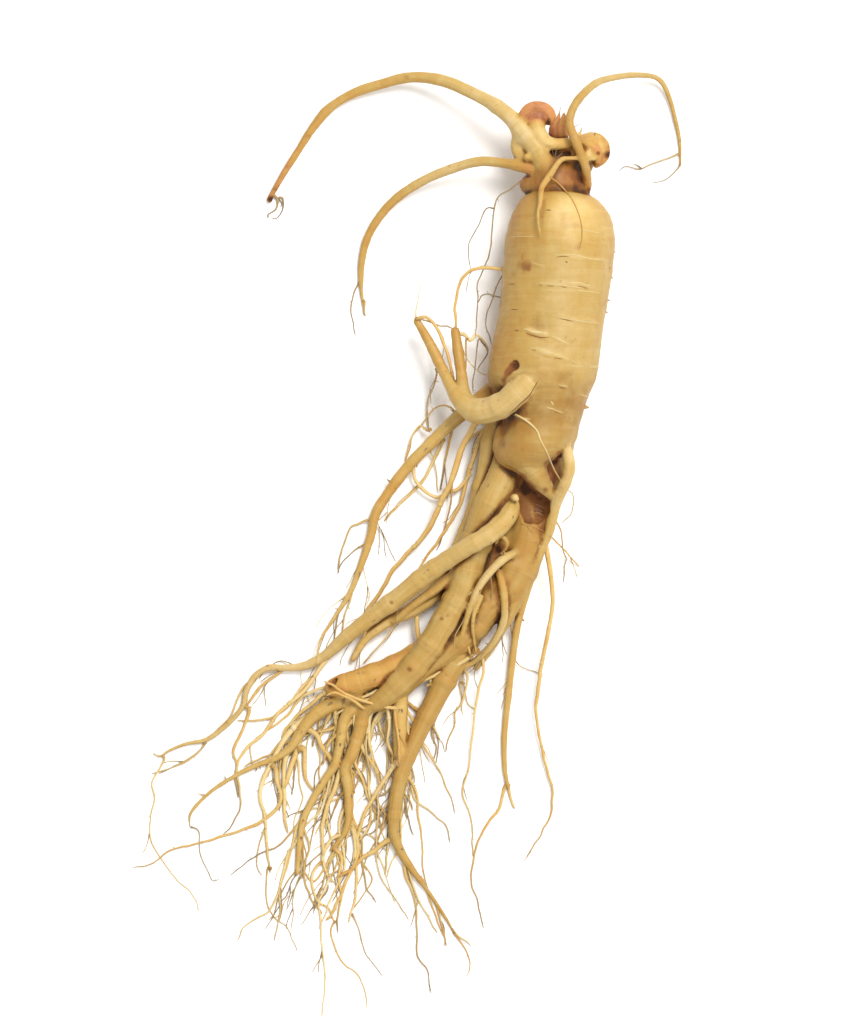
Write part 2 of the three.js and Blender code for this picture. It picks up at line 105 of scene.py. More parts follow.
# limbs: fillet is the joint's softness and how far along it lasts; ripe is 0 cream to 1 orange tan, evenly
# spaced from base to tip; worn is how dull and shade how much painted shade darkens it, both 0 to 1;
# knuckle is the gap between swellings and their height; path holds x, y, height and radius
limbs = {
    "collar": dict(fillet=(0.4, 30), ripeAndShade=(1, 1), wornAndSheen=1, shade=0.25, knuckle=(5, 0.05), path=[
        (-7.4, 43.2, 15.6, 1.9), (-5, 43.3, 17, 2.5), (-1, 42.9, 18.2, 2.6), (3, 42.5, 18.4, 2.3),
        (7, 42, 17.6, 1.8), (10.6, 41.9, 16.6, 1.2)]),
    "collarBack": dict(fillet=(1.2, 30), ripeAndShade=(0.9, 0.9), wornAndSheen=1, shade=0.2, knuckle=(5, 0.05), path=[
        (-6, 43.4, 12, 3), (2, 43, 9.5, 3.6), (9.5, 43.4, 12, 3)]),
    "neck": dict(fillet=(1, 30), ripeAndShade=(1, 1, 0.9), wornAndSheen=1, shade=0.25, knuckle=(2.2, 0.05), path=[
        (2.2, 38, 15, 7), (1.7, 43.6, 15, 7.4), (1.6, 46.6, 15, 6.8), (2.4, 49.6, 14.5, 5.4),
        (4, 52.5, 14, 4.2)]),
    "neckSide": dict(fillet=(1, 30), ripeAndShade=(0.9, 0.9), wornAndSheen=1, shade=0.2, knuckle=(5, 0.05), path=[
        (3, 44, 11, 4.4), (8, 47, 12, 3.6), (11, 51, 14, 3)]),
    "neckRear": dict(fillet=(1, 30), ripeAndShade=(1, 1), wornAndSheen=1, shade=0.3, knuckle=(5, 0.05), path=[
        (-4, 51, 11, 3.4), (1, 54, 11, 2.4), (6.4, 54.6, 11, 2.4)]),
    "neckKnobLeft": dict(fillet=(1.6, 30), ripeAndShade=(0.75, 0.6), wornAndSheen=0.4, knuckle=(4, 0.05), path=[
        (-1, 47, 14, 4.6), (-5.4, 51.2, 14.6, 4), (-8, 55, 14.2, 3.2), (-9, 58, 13.8, 2.4)]),
    "neckKnobRight": dict(fillet=(1.2, 30), ripeAndShade=(0.9, 0.9, 0.8), wornAndSheen=0.3, knuckle=(2.1, 0.06), path=[
        (3.6, 50.2, 14.6, 3.6), (7, 52.3, 16, 3.9), (9.9, 53.5, 17, 4.4), (12.2, 54, 17.2, 4.3),
        (13.6, 53.9, 17, 3.6)]),
    "knobRim": dict(fillet=(0.6, 30), ripeAndShade=(0.9, 1.2), wornAndSheen=0.3, knuckle=(3, 0.1), path=[
        (11.9, 57.6, 17, 1), (14.3, 57.1, 18, 1.2), (16, 55.1, 18.6, 1.3), (16.4, 52.7, 18.6, 1.3),
        (15.6, 50.5, 18, 1.2), (13.7, 49.1, 17, 1)]),
    "knobNodule": dict(fillet=(0.3, 30), ripeAndShade=(0.8, 0.6, 0.2), wornAndSheen=0.3, knuckle=(3, 0.05), path=[
        (9.6, 52.4, 20.2, 1.7), (11, 52.2, 20.8, 1.7), (12.2, 51.4, 20.2, 1.3)]),
    "knobFold": dict(fillet=(0.3, 30), ripeAndShade=(0.8, 1.1, 1.5, 1.2), wornAndSheen=0.3, knuckle=(3, 0.12), path=[
        (9, 55.2, 20.4, 1.1), (11, 55, 21, 1.2), (13, 53.6, 21, 1.1), (14, 51.6, 20.4, 1),
        (13.8, 49.9, 19.6, 0.8)]),
    "budStalk": dict(fillet=(0.5, 12), ripeAndShade=(0.9, 0.75, 0.6, 0.1, 0.1, 0.9), wornAndSheen=0.2,
        knuckle=(6, 0.03), path=[
        (9, 55.2, 15.6, 1.8), (6.2, 55.4, 18, 1.75), (3.4, 55.4, 19.6, 1.7), (0.6, 55.3, 20.2, 1.75),
        (-2, 56.3, 20, 2.1), (-3.8, 58.8, 19.4, 2.4), (-4.3, 61, 18.8, 2.5), (-4.3, 62.4, 18.6, 2.3)]),
    "neckNub": dict(fillet=(0.3, 10), ripeAndShade=(0.8, 0.7), wornAndSheen=0.3, knuckle=(3, 0.02), path=[
        (-6, 50.9, 18.6, 1), (-6.8, 51.2, 19.8, 1.2), (-7.3, 51.2, 20.4, 0.8)]),
    "stemCap": dict(fillet=(0.2, 20), ripeAndShade=(1.3, 1.2), wornAndSheen=0.3, knuckle=(9, 0.02), path=[
        (-8.8, 61.8, 18.4, 1.1), (-8.2, 63.8, 18.8, 1.5), (-6.4, 65.5, 19.2, 1.8), (-3.9, 65.9, 19.4, 1.9),
        (-1.4, 65, 19.2, 1.9), (-0.3, 63.4, 18.8, 1.8), (-0.4, 61.9, 18.4, 1.2)]),
    "stemCapUnder": dict(fillet=(0.2, 20), ripeAndShade=(1.7, 1.7), wornAndSheen=0.3, knuckle=(9, 0.02), path=[
        (-7.7, 61.5, 18.6, 1.3), (-5.8, 62.9, 18.8, 2.1), (-3.2, 63.2, 18.8, 2.1), (-1.8, 62, 18.4, 1)]),
    "budScaleWide": dict(fillet=(0.3, 8), ripeAndShade=(1.75, 1.7, 1.35, 1.15), wornAndSheen=0.2, knuckle=(9, 0.02), path=[
        (2.6, 56.4, 14.6, 2.2), (1.7, 58.6, 15, 2.3), (1.5, 60.6, 15, 1.7), (2.2, 62.8, 15, 0.9),
        (2.7, 64.8, 14.6, 0.3)]),
    "budScaleNarrow": dict(fillet=(0.2, 8), ripeAndShade=(1.4, 1.3, 1.2, 1), knuckle=(9, 0.02), path=[
        (3.9, 56.6, 16, 1.7), (3.5, 59.4, 16.8, 1.6), (3.6, 61.6, 16.8, 1.2), (4, 64.4, 16.4, 0.5)]),
    "armLong": dict(fillet=(1.2, 6), ripeAndShade=(1.1, 0.05, 0.2, 0.4, 0.6, 0.7, 0.75, 0.9, 1.4), wornAndSheen=0.65,
        knuckle=(9, 0.13), path=[
        (0, 45.5, 17, 2.9), (-2, 49.5, 18.6, 3), (-4.5, 54, 18.8, 2.9), (-9.4, 60.2, 18.2, 2.5),
        (-15, 65.4, 16.6, 2.15), (-24, 71.1, 13, 1.95), (-33, 75, 9.6, 1.8), (-41.4, 76.1, 6.6, 1.65),
        (-49.8, 74.4, 4.4, 1.55), (-58.5, 71.7, 3, 1.45), (-66, 67.5, 2.2, 1.35), (-70.5, 62.4, 1.9, 1.25),
        (-75, 55.5, 1.7, 1.1), (-79.6, 48.6, 1.5, 1), (-83.6, 41.4, 1.2, 0.8), (-84.2, 39.8, 1.1, 0.9)]),
    "armLongFin": dict(fillet=(2.4, 40), ripeAndShade=(0.45, 0.5, 0.5, 0.8), wornAndSheen=0.3, knuckle=(9, 0.02), path=[
        (-9.6, 59.4, 17.4, 1.2), (-9.8, 56.6, 16.6, 1.6), (-9.5, 53.8, 16, 2), (-7, 50.8, 15.8, 2.2),
        (-3, 48, 15.6, 2)]),
    "armShort": dict(fillet=(0.8, 6), ripeAndShade=(1.4, 0.6, 0.05, 0.2, 0.6, 0.85, 0.6, 0.2), wornAndSheen=0.7,
        knuckle=(8, 0.1), path=[
        (-1, 45.6, 16.4, 2.2), (-5, 48, 17.4, 2), (-9, 49.1, 16.6, 1.75), (-13.5, 49.9, 14.9, 1.55),
        (-21, 50.6, 12.4, 1.5), (-28.5, 49, 9.8, 1.5), (-37.5, 45.3, 6.8, 1.45), (-45, 40.5, 4.4, 1.4),
        (-51, 34.5, 2.7, 1.3), (-55, 27.6, 1.7, 1.15), (-56.7, 20.4, 1.25, 1.05), (-56.8, 14.6, 0.9, 0.75),
        (-56.2, 7, 0.6, 0.3)]),
    "armHooked": dict(fillet=(0.7, 4), ripeAndShade=(0.9, 0.8, 0.6, 0.1, 0.25, 0.6, 0.7), wornAndSheen=0.9, shade=0.06,
        knuckle=(8, 0.08), path=[
        (10.6, 41.8, 15, 1.5), (10.7, 43.6, 17.4, 1.45), (10.3, 47.6, 20.8, 1.4), (8.9, 51.7, 22.6, 1.4),
        (7.1, 56.1, 23.8, 1.4), (5.5, 60.5, 24, 1.25), (5.7, 63.6, 23.4, 1.25), (7.4, 67.4, 22, 1.25),
        (10.2, 70.6, 19.8, 1.25), (15, 74.2, 15, 1.15), (22.5, 76.3, 9.4, 1), (30, 76.7, 5, 0.85),
        (33.8, 75, 3.4, 0.8), (36.4, 69.9, 1.8, 0.75), (38.1, 63.6, 1.2, 0.7), (39.3, 57.6, 0.9, 0.6),
        (39.6, 50.4, 0.7, 0.35)]),
    "neckSmallRoot": dict(fillet=(0.2, 4), ripeAndShade=(0.2, 0.6, 0.7, 0.7, 0.6, 0.5), wornAndSheen=0.5,
        knuckle=(5, 0.06), path=[
        (13, 50.7, 21.4, 0.66), (9.6, 50.7, 22.4, 0.66), (6, 50.7, 22.6, 0.66), (3.4, 50.4, 22.8, 0.75),
        (1.9, 49, 23.4, 0.85), (0.2, 46.4, 24.4, 0.95), (-1.4, 44, 25.4, 0.95), (-2.8, 41.8, 26.4, 0.9),
        (-3.1, 39.5, 28, 0.85), (-3.5, 36.4, 29.7, 0.74), (-4.1, 34.6, 30.4, 0.56), (-4, 31.1, 31, 0.46),
        (-3.3, 27, 31.4, 0.28)]),
    "armRaised": dict(fillet=(1.6, 5), ripeAndShade=(0.35, 0.2, 0.35, 0.65, 0.75), wornAndSheen=0.6,
        knuckle=(8, 0.1), path=[
        (-1, -10.6, 22, 6), (-5.4, -14.6, 26, 4.9), (-9.4, -18.6, 26.6, 4.2), (-13.4, -22.2, 25.2, 3.8),
        (-18, -24.4, 22.4, 3.9), (-22.4, -24.6, 19.6, 3.7), (-25.8, -22.2, 17.4, 3), (-29, -18, 15.4, 2),
        (-31.9, -12.6, 13.6, 1.6), (-34.5, -7.2, 12.2, 1.5), (-37.2, -2, 11, 1.35), (-39.9, 2.6, 10, 1.1)]),
    "armRaisedFork": dict(fillet=(0.7, 4), ripeAndShade=(0.5, 0.7, 0.95), wornAndSheen=0.7, knuckle=(8, 0.1), path=[
        (-25.2, -22, 17.6, 2.4), (-26.4, -16.6, 15.8, 1.7), (-27.2, -10.5, 14, 1.6), (-28, -4.5, 12.6, 1.5),
        (-28.6, -0.4, 11.6, 1.3)]),
    "sideRootOuter": dict(fillet=(1.6, 6), ripeAndShade=(1.3, 0.6, 0.5, 0.7, 0.8, 0.7, 0.5, 0.4, 0.3), wornAndSheen=0.4,
        knuckle=(9, 0.12), path=[
        (-12, -15, 9, 4), (-18, -19, 9.2, 3.1), (-23.1, -21.9, 8.2, 2.3), (-28.5, -26.4, 6.4, 1.9),
        (-35.1, -32.6, 4.8, 1.8), (-41.7, -39.9, 3.5, 1.75), (-47.4, -47.4, 2.7, 1.65),
        (-52, -54.6, 2.2, 1.5), (-53.6, -61.5, 1.8, 1.3), (-56.4, -69.6, 1.4, 1.1), (-60, -78.6, 1.1, 0.85),
        (-65.1, -87, 1.6, 0.6), (-69.3, -94, 3.4, 0.42), (-69.9, -101.4, 4.9, 0.3)]),
    "legRear": dict(fillet=(1.6, 8), ripeAndShade=(0.6, 0.5, 0.4), wornAndSheen=0.2, knuckle=(9, 0.1), path=[
        (-12.4, -18, 9, 5.2), (-15.4, -28, 7.6, 4.3), (-17, -36, 6.4, 3.9), (-18.9, -46, 5.6, 3.8),
        (-21.8, -56, 5, 3.7), (-25.4, -64.5, 4.4, 3.4), (-30.3, -73.8, 4.4, 3), (-36.3, -80.1, 4.8, 2.6),
        (-43, -84.6, 4.8, 2.3), (-49.8, -88.2, 4, 1.8), (-55.5, -93, 3, 1.3), (-59.4, -99, 2, 0.9)]),
    "legRight": dict(fillet=(3, 9), ripeAndShade=(0.9, 0.85, 0.75, 0.7), wornAndSheen=1, knuckle=(10, 0.1), path=[
        (-4, -32, 9, 8.5), (-4.2, -44, 8.2, 7.4), (-5, -54, 7.6, 6.9), (-6.8, -63, 7.2, 6.5),
        (-8.6, -69.6, 7, 6.3), (-12.6, -77, 6.8, 6.1), (-19, -83.4, 6.6, 5.9), (-25, -90.6, 6, 5.1),
        (-31.6, -96.8, 5.4, 4.1), (-38, -101.6, 5, 3.5), (-44.4, -107.4, 4.6, 3), (-49.5, -112.5, 4, 2.4)]),
    "legRightTail": dict(fillet=(1.5, 12), ripeAndShade=(0.7, 0.7, 0.4, 0.7), wornAndSheen=0.8, knuckle=(7, 0.12), path=[
        (-10.4, -73, 7, 5), (-12, -80.4, 7, 3.7), (-13, -85.6, 7, 2.4), (-15, -91.2, 6, 1.4),
        (-18.4, -96.8, 4.4, 1.2), (-22, -101.6, 2.8, 0.9)]),
    "legLower": dict(fillet=(1, 8), ripeAndShade=(0.75, 0.7, 0.65), wornAndSheen=0.9, knuckle=(9, 0.14), path=[
        (-17, -80, 4.8, 4), (-23.6, -91, 4, 3.9), (-29.6, -101.4, 3.6, 3.6), (-34.2, -111, 3.3, 3.2),
        (-40, -122.4, 2.9, 2.8), (-44.2, -132.4, 2.6, 2.35), (-46.6, -142, 2.3, 2.15),
        (-47.1, -151, 2, 1.75), (-44.6, -157.6, 1.7, 1.35), (-40.8, -163.2, 1.3, 1),
        (-35.8, -170.2, 0.9, 0.66), (-31.6, -176.6, 0.7, 0.5), (-28.8, -181.4, 0.6, 0.42)]),
    "legLeft": dict(fillet=(0.6, 4), ripeAndShade=(0.4, 0.6, 0.6, 0.6), wornAndSheen=0.85, knuckle=(10, 0.12), path=[
        (-10, -33, 9.6, 4.4), (-12.6, -39, 11.2, 4.7), (-15, -45.4, 12, 4.8), (-18.4, -52.8, 12, 4.9),
        (-21.4, -60, 11, 4.9), (-23.8, -69, 10, 4.75), (-26.2, -77.4, 9.8, 4.5), (-30.4, -85.6, 9.8, 4.2),
        (-35, -93.4, 9.6, 3.9), (-40.6, -100.8, 8.8, 3.7), (-46, -106.6, 7.6, 3.3), (-50.6, -111, 6.4, 2.8),
        (-54.6, -113.8, 5.2, 1.9)]),
    "legBroken": dict(fillet=(0.8, 8), ripeAndShade=(0.9, 1, 0.9, 0.95), wornAndSheen=0.1, knuckle=(7, 0.12), path=[
        (-33, -93, 7, 3.6), (-41.4, -98.4, 5.8, 3.7), (-49.5, -102.6, 5, 3.7), (-57, -105.4, 4.6, 3.6),
        (-62.6, -107, 4.2, 3.3), (-65, -107.6, 4.1, 2.7)]),
    "crotchLobe": dict(fillet=(2.8, 60), ripeAndShade=(0.5, 0.45), wornAndSheen=1, shade=0.1, knuckle=(9, 0.03), path=[
        (-14.2, -31.4, 15, 2.2), (-14.5, -35.2, 15.8, 2.3), (-12.6, -36.9, 17.6, 2.6),
        (-9.4, -38.3, 19, 3.1), (-6.4, -40.8, 19.2, 3.5), (-3.8, -44.1, 18.4, 3.2),
        (-1.8, -46.8, 17.2, 2.6), (0.2, -49.2, 15.8, 1.8)]),
    "crotchBack": dict(fillet=(3, 40), ripeAndShade=(0.7, 0.7), wornAndSheen=1, knuckle=(9, 0.03), path=[
        (-0.6, -36, 8, 7.6), (0.2, -44, 7.6, 5.6), (-2.4, -52, 7, 4.4)]),
    "sideRootLooped": dict(fillet=(0.4, 3), ripeAndShade=(0, 0.3, 0.6, 0.55, 0.6), wornAndSheen=0.5,
        knuckle=(8, 0.1), path=[
        (3, -34, 16, 2), (4.2, -35.5, 19.4, 1.8), (5, -38.2, 21.2, 1.75), (5.4, -42, 20.8, 1.75),
        (4.1, -46.4, 19, 1.75), (2.4, -50, 16.6, 1.7), (1.1, -53.8, 14.6, 1.65), (0.2, -58, 13, 1.6),
        (-1.2, -63, 11.4, 1.45), (-4.2, -70.6, 9.4, 1.3), (-7.2, -79.6, 6.8, 1.25), (-9.6, -89, 4.4, 1.2),
        (-11.2, -100.5, 2.4, 1.15), (-12.6, -112.5, 1.6, 1.05), (-13.6, -124.5, 1.2, 0.9),
        (-13.5, -132.6, 1, 0.75), (-12.3, -138, 0.9, 0.6)]),
    "sideRootLong": dict(fillet=(0.4, 3), ripeAndShade=(0.45, 0.38, 0.5, 0.12, 0.2, 0.3), wornAndSheen=0.6,
        knuckle=(9, 0.12), path=[
        (-10, -49.8, 11.4, 2), (-11.2, -52.8, 15, 2.4), (-13.6, -57.2, 17.8, 2.7),
        (-18.8, -61.6, 18.8, 2.65), (-24.6, -65, 18.2, 2.6), (-31.5, -69.6, 15, 2.75),
        (-39, -75.4, 11.6, 2.95), (-46.5, -81.2, 9, 2.85), (-54, -86.7, 6.8, 2.5), (-61.5, -92.9, 4.8, 2),
        (-67.5, -98.1, 3.2, 1.6), (-73.5, -101.1, 2.4, 1.3), (-79.5, -101.7, 2, 1.1),
        (-84.6, -101.6, 1.7, 1.05), (-88.8, -104.1, 1.5, 1), (-91.5, -108.6, 1.3, 0.95),
        (-92.4, -113.1, 1.2, 0.85), (-96.6, -118.2, 1, 0.75), (-102.9, -123.2, 0.9, 0.65),
        (-109.5, -124.6, 0.8, 0.55), (-114.6, -126.6, 0.7, 0.45), (-117.6, -128.4, 0.6, 0.35),
        (-120, -126.9, 0.5, 0.22)]),
    "sideRootNub": dict(fillet=(0.2, 3), ripeAndShade=(0.15, 0.1), knuckle=(1, 0.2), path=[
        (-11.4, -50.4, 17.8, 0.8), (-10.7, -50.2, 19, 1), (-10.1, -50.8, 19, 0.7)]),
    "legWeb": dict(fillet=(1, 30), ripeAndShade=(0.7, 0.7), wornAndSheen=0.7, knuckle=(9, 0.04), path=[
        (-11, -58, 6.4, 5), (-15.4, -67, 6, 4.8), (-19.4, -76, 6, 4.6), (-26, -87, 5.6, 4)]),
    "sideRootUnder": dict(fillet=(0.5, 12), ripeAndShade=(0.7, 0.6), wornAndSheen=0.6, knuckle=(8, 0.1), path=[
        (-28, -73, 10, 1.6), (-33, -76.6, 9.4, 1.6), (-39.6, -81.4, 7.8, 1.3), (-47, -87.6, 6, 0.9)]),
    "saddleRoot": dict(fillet=(0.3, 3), ripeAndShade=(0.4, 0, 0.1, 0.6, 0.8), wornAndSheen=0.5, knuckle=(7, 0.08), path=[
        (-10.8, -66.8, 12.4, 1.1), (-12.8, -67.9, 14, 1.25), (-15.2, -69.6, 14.8, 1.25),
        (-18.6, -73.2, 14.8, 1.2), (-21.6, -77.8, 14, 1.15), (-24, -84, 12.8, 1.1), (-26, -90.6, 11, 0.85),
        (-27.4, -95, 10, 0.5)]),
    "saddleFork": dict(fillet=(0.3, 3), ripeAndShade=(0.6, 0.6), wornAndSheen=0.5, knuckle=(4, 0.1), path=[
        (-20.6, -80, 14, 0.8), (-22.6, -84.4, 14.2, 0.72), (-23.2, -88.4, 13.2, 0.62),
        (-22.8, -93, 11, 0.5), (-22, -97.4, 9.8, 0.35)]),
    "hipRoot": dict(fillet=(0.4, 3), ripeAndShade=(0.8, 0.2, 0.5, 0.4), wornAndSheen=0.5, knuckle=(7, 0.08), path=[
        (-15.4, -72.6, 12, 1), (-14.2, -77, 13, 1.2), (-13.6, -82.4, 12.6, 1.2), (-13.8, -87, 11, 1.15),
        (-15.8, -92, 8.6, 1.1), (-19.4, -96.6, 6.4, 1), (-24.9, -101, 4.8, 0.8), (-31, -103.6, 4.2, 0.6),
        (-37, -107, 4.4, 0.45)]),
    "hollowCurl": dict(fillet=(0.2, 3), ripeAndShade=(0.5, 0.8, 0.8, 1), wornAndSheen=0.7, knuckle=(7, 0.03), path=[
        (-16.2, -64.6, 13, 0.6), (-15.9, -62.6, 15.4, 0.6), (-14.5, -61.8, 16.4, 0.62),
        (-13.3, -63, 16.2, 0.62), (-13.1, -64.8, 15.2, 0.55), (-14.4, -66.5, 14, 0.45),
        (-16.8, -68, 13, 0.3)]),
    "beardCentre": dict(fillet=(0.8, 6), ripeAndShade=(0.8, 0.6, 0.6), wornAndSheen=0.4, knuckle=(6, 0.12), path=[
        (-56, -115, 5, 2), (-57.4, -121.5, 4.2, 1.9), (-59.6, -128, 3.6, 1.75), (-61.6, -132, 3, 1.6),
        (-60.8, -137.6, 2.4, 1.55), (-60.6, -143.4, 2, 1.4), (-60.8, -148.4, 1.6, 1.1),
        (-62.4, -152.6, 1.3, 0.8), (-66, -156.6, 1, 0.5)]),
    "beardInner": dict(fillet=(0.8, 6), ripeAndShade=(0.6, 0.45, 0.5), wornAndSheen=0.3, knuckle=(6, 0.12), path=[
        (-57, -112, 5, 1.9), (-61.2, -116.4, 4, 1.7), (-62.8, -123.4, 3.2, 1.5), (-64.4, -130.4, 2.6, 1.4),
        (-67.4, -134.6, 2, 1.25), (-71, -140.4, 1.6, 1.15), (-74.2, -147.4, 1.3, 1.05),
        (-75.2, -154, 1.1, 0.9), (-76, -163.6, 0.9, 0.7)]),
    "beardOuter": dict(fillet=(0.8, 6), ripeAndShade=(0.55, 0.5), wornAndSheen=0.35, knuckle=(6, 0.12), path=[
        (-58, -108.5, 4, 2.3), (-62, -111.4, 3.6, 2.2), (-66.4, -113.2, 3.2, 2.1), (-71, -116, 2.8, 1.9),
        (-74.8, -120.4, 2.3, 1.6), (-78, -125.4, 1.8, 1.35), (-82.4, -128.8, 1.4, 1.05),
        (-88.5, -131.2, 1.1, 0.85), (-94.5, -134.1, 1, 0.72), (-102, -138.9, 0.8, 0.6),
        (-108, -145.2, 0.7, 0.48), (-108.3, -149.6, 0.6, 0.3)]),
    "beardBridge": dict(fillet=(0.8, 8), ripeAndShade=(0.6, 0.65), wornAndSheen=0.1, knuckle=(6, 0.12), path=[
        (-43.4, -103, 6.6, 2.2), (-44.6, -109, 5.6, 2.2), (-44.8, -115, 4.8, 2.1), (-45, -121, 4, 2),
        (-45, -127, 3.4, 1.9), (-45.2, -133, 2.8, 1.8), (-46, -138, 2.4, 1.6)]),
}

# hollows cut into the skin after the limbs are joined
hollows = {
    "tornPit": dict(softness=0.4, path=[
        (-7.4, -46, 15.6, 2.2), (-5.4, -49.6, 15, 3.6), (-3.6, -53.4, 14.6, 3.6), (-4, -56.2, 14.2, 2)]),
    "tornPitLeft": dict(softness=0.5, path=[
        (-7.2, -49, 15, 2.4), (-6.6, -53, 14.3, 2.9), (-6.3, -55.9, 14, 2.3)]),
    "redPit": dict(softness=0.9, path=[
        (-14.8, -15.8, 25.6, 0.4), (-13.3, -13.5, 27.1, 0.7), (-11.9, -11.8, 27.8, 1),
        (-10.9, -11.1, 28.3, 1.15)]),
    "neckPit": dict(softness=0.5, path=[
        (-0.6, 52.3, 19.6, 0.7), (2.1, 52, 19, 0.8), (5.4, 52, 19, 0.7)]),
    "capNotch": dict(softness=0.3, path=[
        (-2.2, 62.2, 21, 0.4), (-0.9, 61.4, 20.4, 0.8)]),
    "loopHollow": dict(softness=0.5, path=[
        (2.7, -36.6, 20.2, 0.9), (1.3, -39.4, 18.6, 1.9), (1.1, -42.2, 17.4, 2), (2.2, -45.6, 15.6, 1.4)]),
    "brokenEnd": dict(softness=0.5, path=[
        (-65.8, -106.2, 6, 1.3), (-64.4, -105.4, 5.6, 0.9)]),
    "curlPit": dict(softness=0.4, path=[
        (-15, -65, 12.4, 1.8), (-16.4, -68, 11.8, 1.2)]),
}

# swellings on a limb: where the first may stand, then height, width and gap as shares; slow is the drift in
# girth, and sway the wander in plan, as a share of the radius and at most so much
swellSetup = {"first": 1.5, "height": (0.2, 1), "width": (0.7, 1.5), "gap": (0.4, 1.7), "slowSize": 9,
              "slow": 0.5, "swaySize": 11, "sway": 0.22, "swayMost": 0.5, "swayFadeIn": 8}

fieldSetup = {
    "voxel": 0.47,  # body and arms
    "legVoxel": 0.5,
    "band": 3.2,  # how far from the skin distances are kept
    "step": 1.2,  # spacing of a route's samples
    "joint": 0.3,  # softness that every joint has
    "foot": 0.5,  # softness of the edge round the resting flat
    "splitY": -41,  # the two skins swap over here
    "overlap": 5,
    "tuck": 0.09,  # how far one skin sits under the other in the overlap
    "tornDepth": 0.8,  # how near a hollow its ragged layers reach
    "tornLayers": [(0.22, 0.55, 0), (0.16, 1.3, 8)],  # height, size, shift
}

lattice = np.random.default_rng(11).random((64, 64, 64), dtype=np.float32) * 2 - 1


def softNoise(points, size, shift=0.0):
    # smooth value noise in -1..1 at points, one feature about every size
    p = np.asarray(points, np.float32) / size + 17.3 + shift
    cell = np.floor(p).astype(np.int64)
    f = p - cell
    f = f * f * (3 - 2 * f)
    total = np.zeros(len(p), np.float32)
    for corner in np.ndindex(2, 2, 2):
        x, y, z = ((cell + corner) & 63).T
        w = np.where(corner, f, 1 - f).T
        total += lattice[x, y, z] * w[0] * w[1] * w[2]
    return total


def lineNoise(along, size, second=0.0, third=0.0, shift=0.0):
    # noise along a line, another one for each second and third
    return softNoise(np.c_[along, along * 0 + second, along * 0 + third], size, shift)


def fade(values, start, length):
    # 0 up to start, 1 from length past it
    return np.clip((values - start) / length, 0, 1)


def smoothPath(path, spacing, thinnest=0.15):
    # points along a Catmull-Rom curve through the path's points, radius included
    p = np.array(path, float)
    p = np.vstack([2 * p[0] - p[1], p, 2 * p[-1] - p[-2]])
    out = []
    for a, b, c, d in zip(p[:-3], p[1:-2], p[2:-1], p[3:]):
        count = max(2, int(np.linalg.norm((c - b)[:3]) / spacing) + 1)
        t = np.linspace(0, 1, count, endpoint=False)[:, None]
        square, cube = 2 * a - 5 * b + 4 * c - d, 3 * b - a - 3 * c + d
        out.append(0.5 * (2 * b + (c - a) * t + square * t**2 + cube * t**3))
    out = np.vstack(out + [p[-2][None]])
    out[:, 3] = np.maximum(out[:, 3], thinnest)
    return out


def lengthsAlong(route):
    steps = np.linalg.norm(np.diff(route[:, :3], axis=0), axis=1)
    return np.concatenate([[0], np.cumsum(steps)])


def knuckled(route, gap, height, rng):
    # uneven swellings along a route, and a slight wander
    along, setup = lengthsAlong(route), swellSetup
    swell = np.zeros(len(route))
    at = rng.uniform(setup["first"], gap)
    while at < along[-1]:
        rise = rng.uniform(*setup["height"])
        swell += rise * np.exp(-(((along - at) / rng.uniform(*setup["width"])) ** 2))
        at += gap * rng.uniform(*setup["gap"])
    out = route.copy()
    slow = lineNoise(along, setup["slowSize"], 0, rng.uniform(0, 60))
    out[:, 3] *= 1 + height * swell + setup["slow"] * height * slow
    for axis in (0, 1):
        sway = lineNoise(along, setup["swaySize"], 9 * axis, rng.uniform(0, 60))
        out[:, axis] += sway * np.minimum(setup["sway"] * route[:, 3], setup["swayMost"]) * fade(
            along, 0, setup["swayFadeIn"])
    return out


rng = random.Random(4)
routes = {name: knuckled(smoothPath(limb["path"], fieldSetup["step"]), *limb["knuckle"], rng)
          for name, limb in limbs.items()}
print("routes laid:", len(routes))


def mainRootField(x, y, z):
    # signed distance to the main root, from its sections
    s = smoothPath([(a, b, 0, c) for a, b, c in mainRoot["sections"]], 0.5)
    order = np.argsort(s[:, 1])
    ys, xs, rs = s[order, 1], s[order, 0], s[order, 3]
    centre, radius = np.interp(y, ys, xs), np.interp(y, ys, rs)
    slope = np.interp(y, ys, np.gradient(rs, ys))
    radius = radius - np.maximum(y - ys[-1], 0) * 2 - np.maximum(ys[0] - y, 0) * 2
    dx, dz = x - centre, (z - mainRoot["height"]) / mainRoot["flatness"]
    rho = np.sqrt(dx * dx + dz * dz)
    angle = np.arctan2(dz, dx)
    uneven = sum(height * np.sin(turns * angle + y * pace + start)
                 for height, turns, pace, start in mainRoot["waves"])
    height, pace = mainRoot["bulges"]
    uneven = (uneven + height * np.sin(y * pace)) * fade(radius, 0, 12)
    return (rho - radius - uneven) / np.sqrt(1 + np.minimum(slope**2, 9))


def blockAround(low, high, lo, voxel, shape):
    # the part of the grid from low to high, and if there is any
    a = np.clip(((low - lo) / voxel).astype(int), 0, shape)
    b = np.clip(((high - lo) / voxel).astype(int) + 2, 0, shape)
    return tuple(slice(int(i), int(j)) for i, j in zip(a, b)), bool(np.all(b > a))


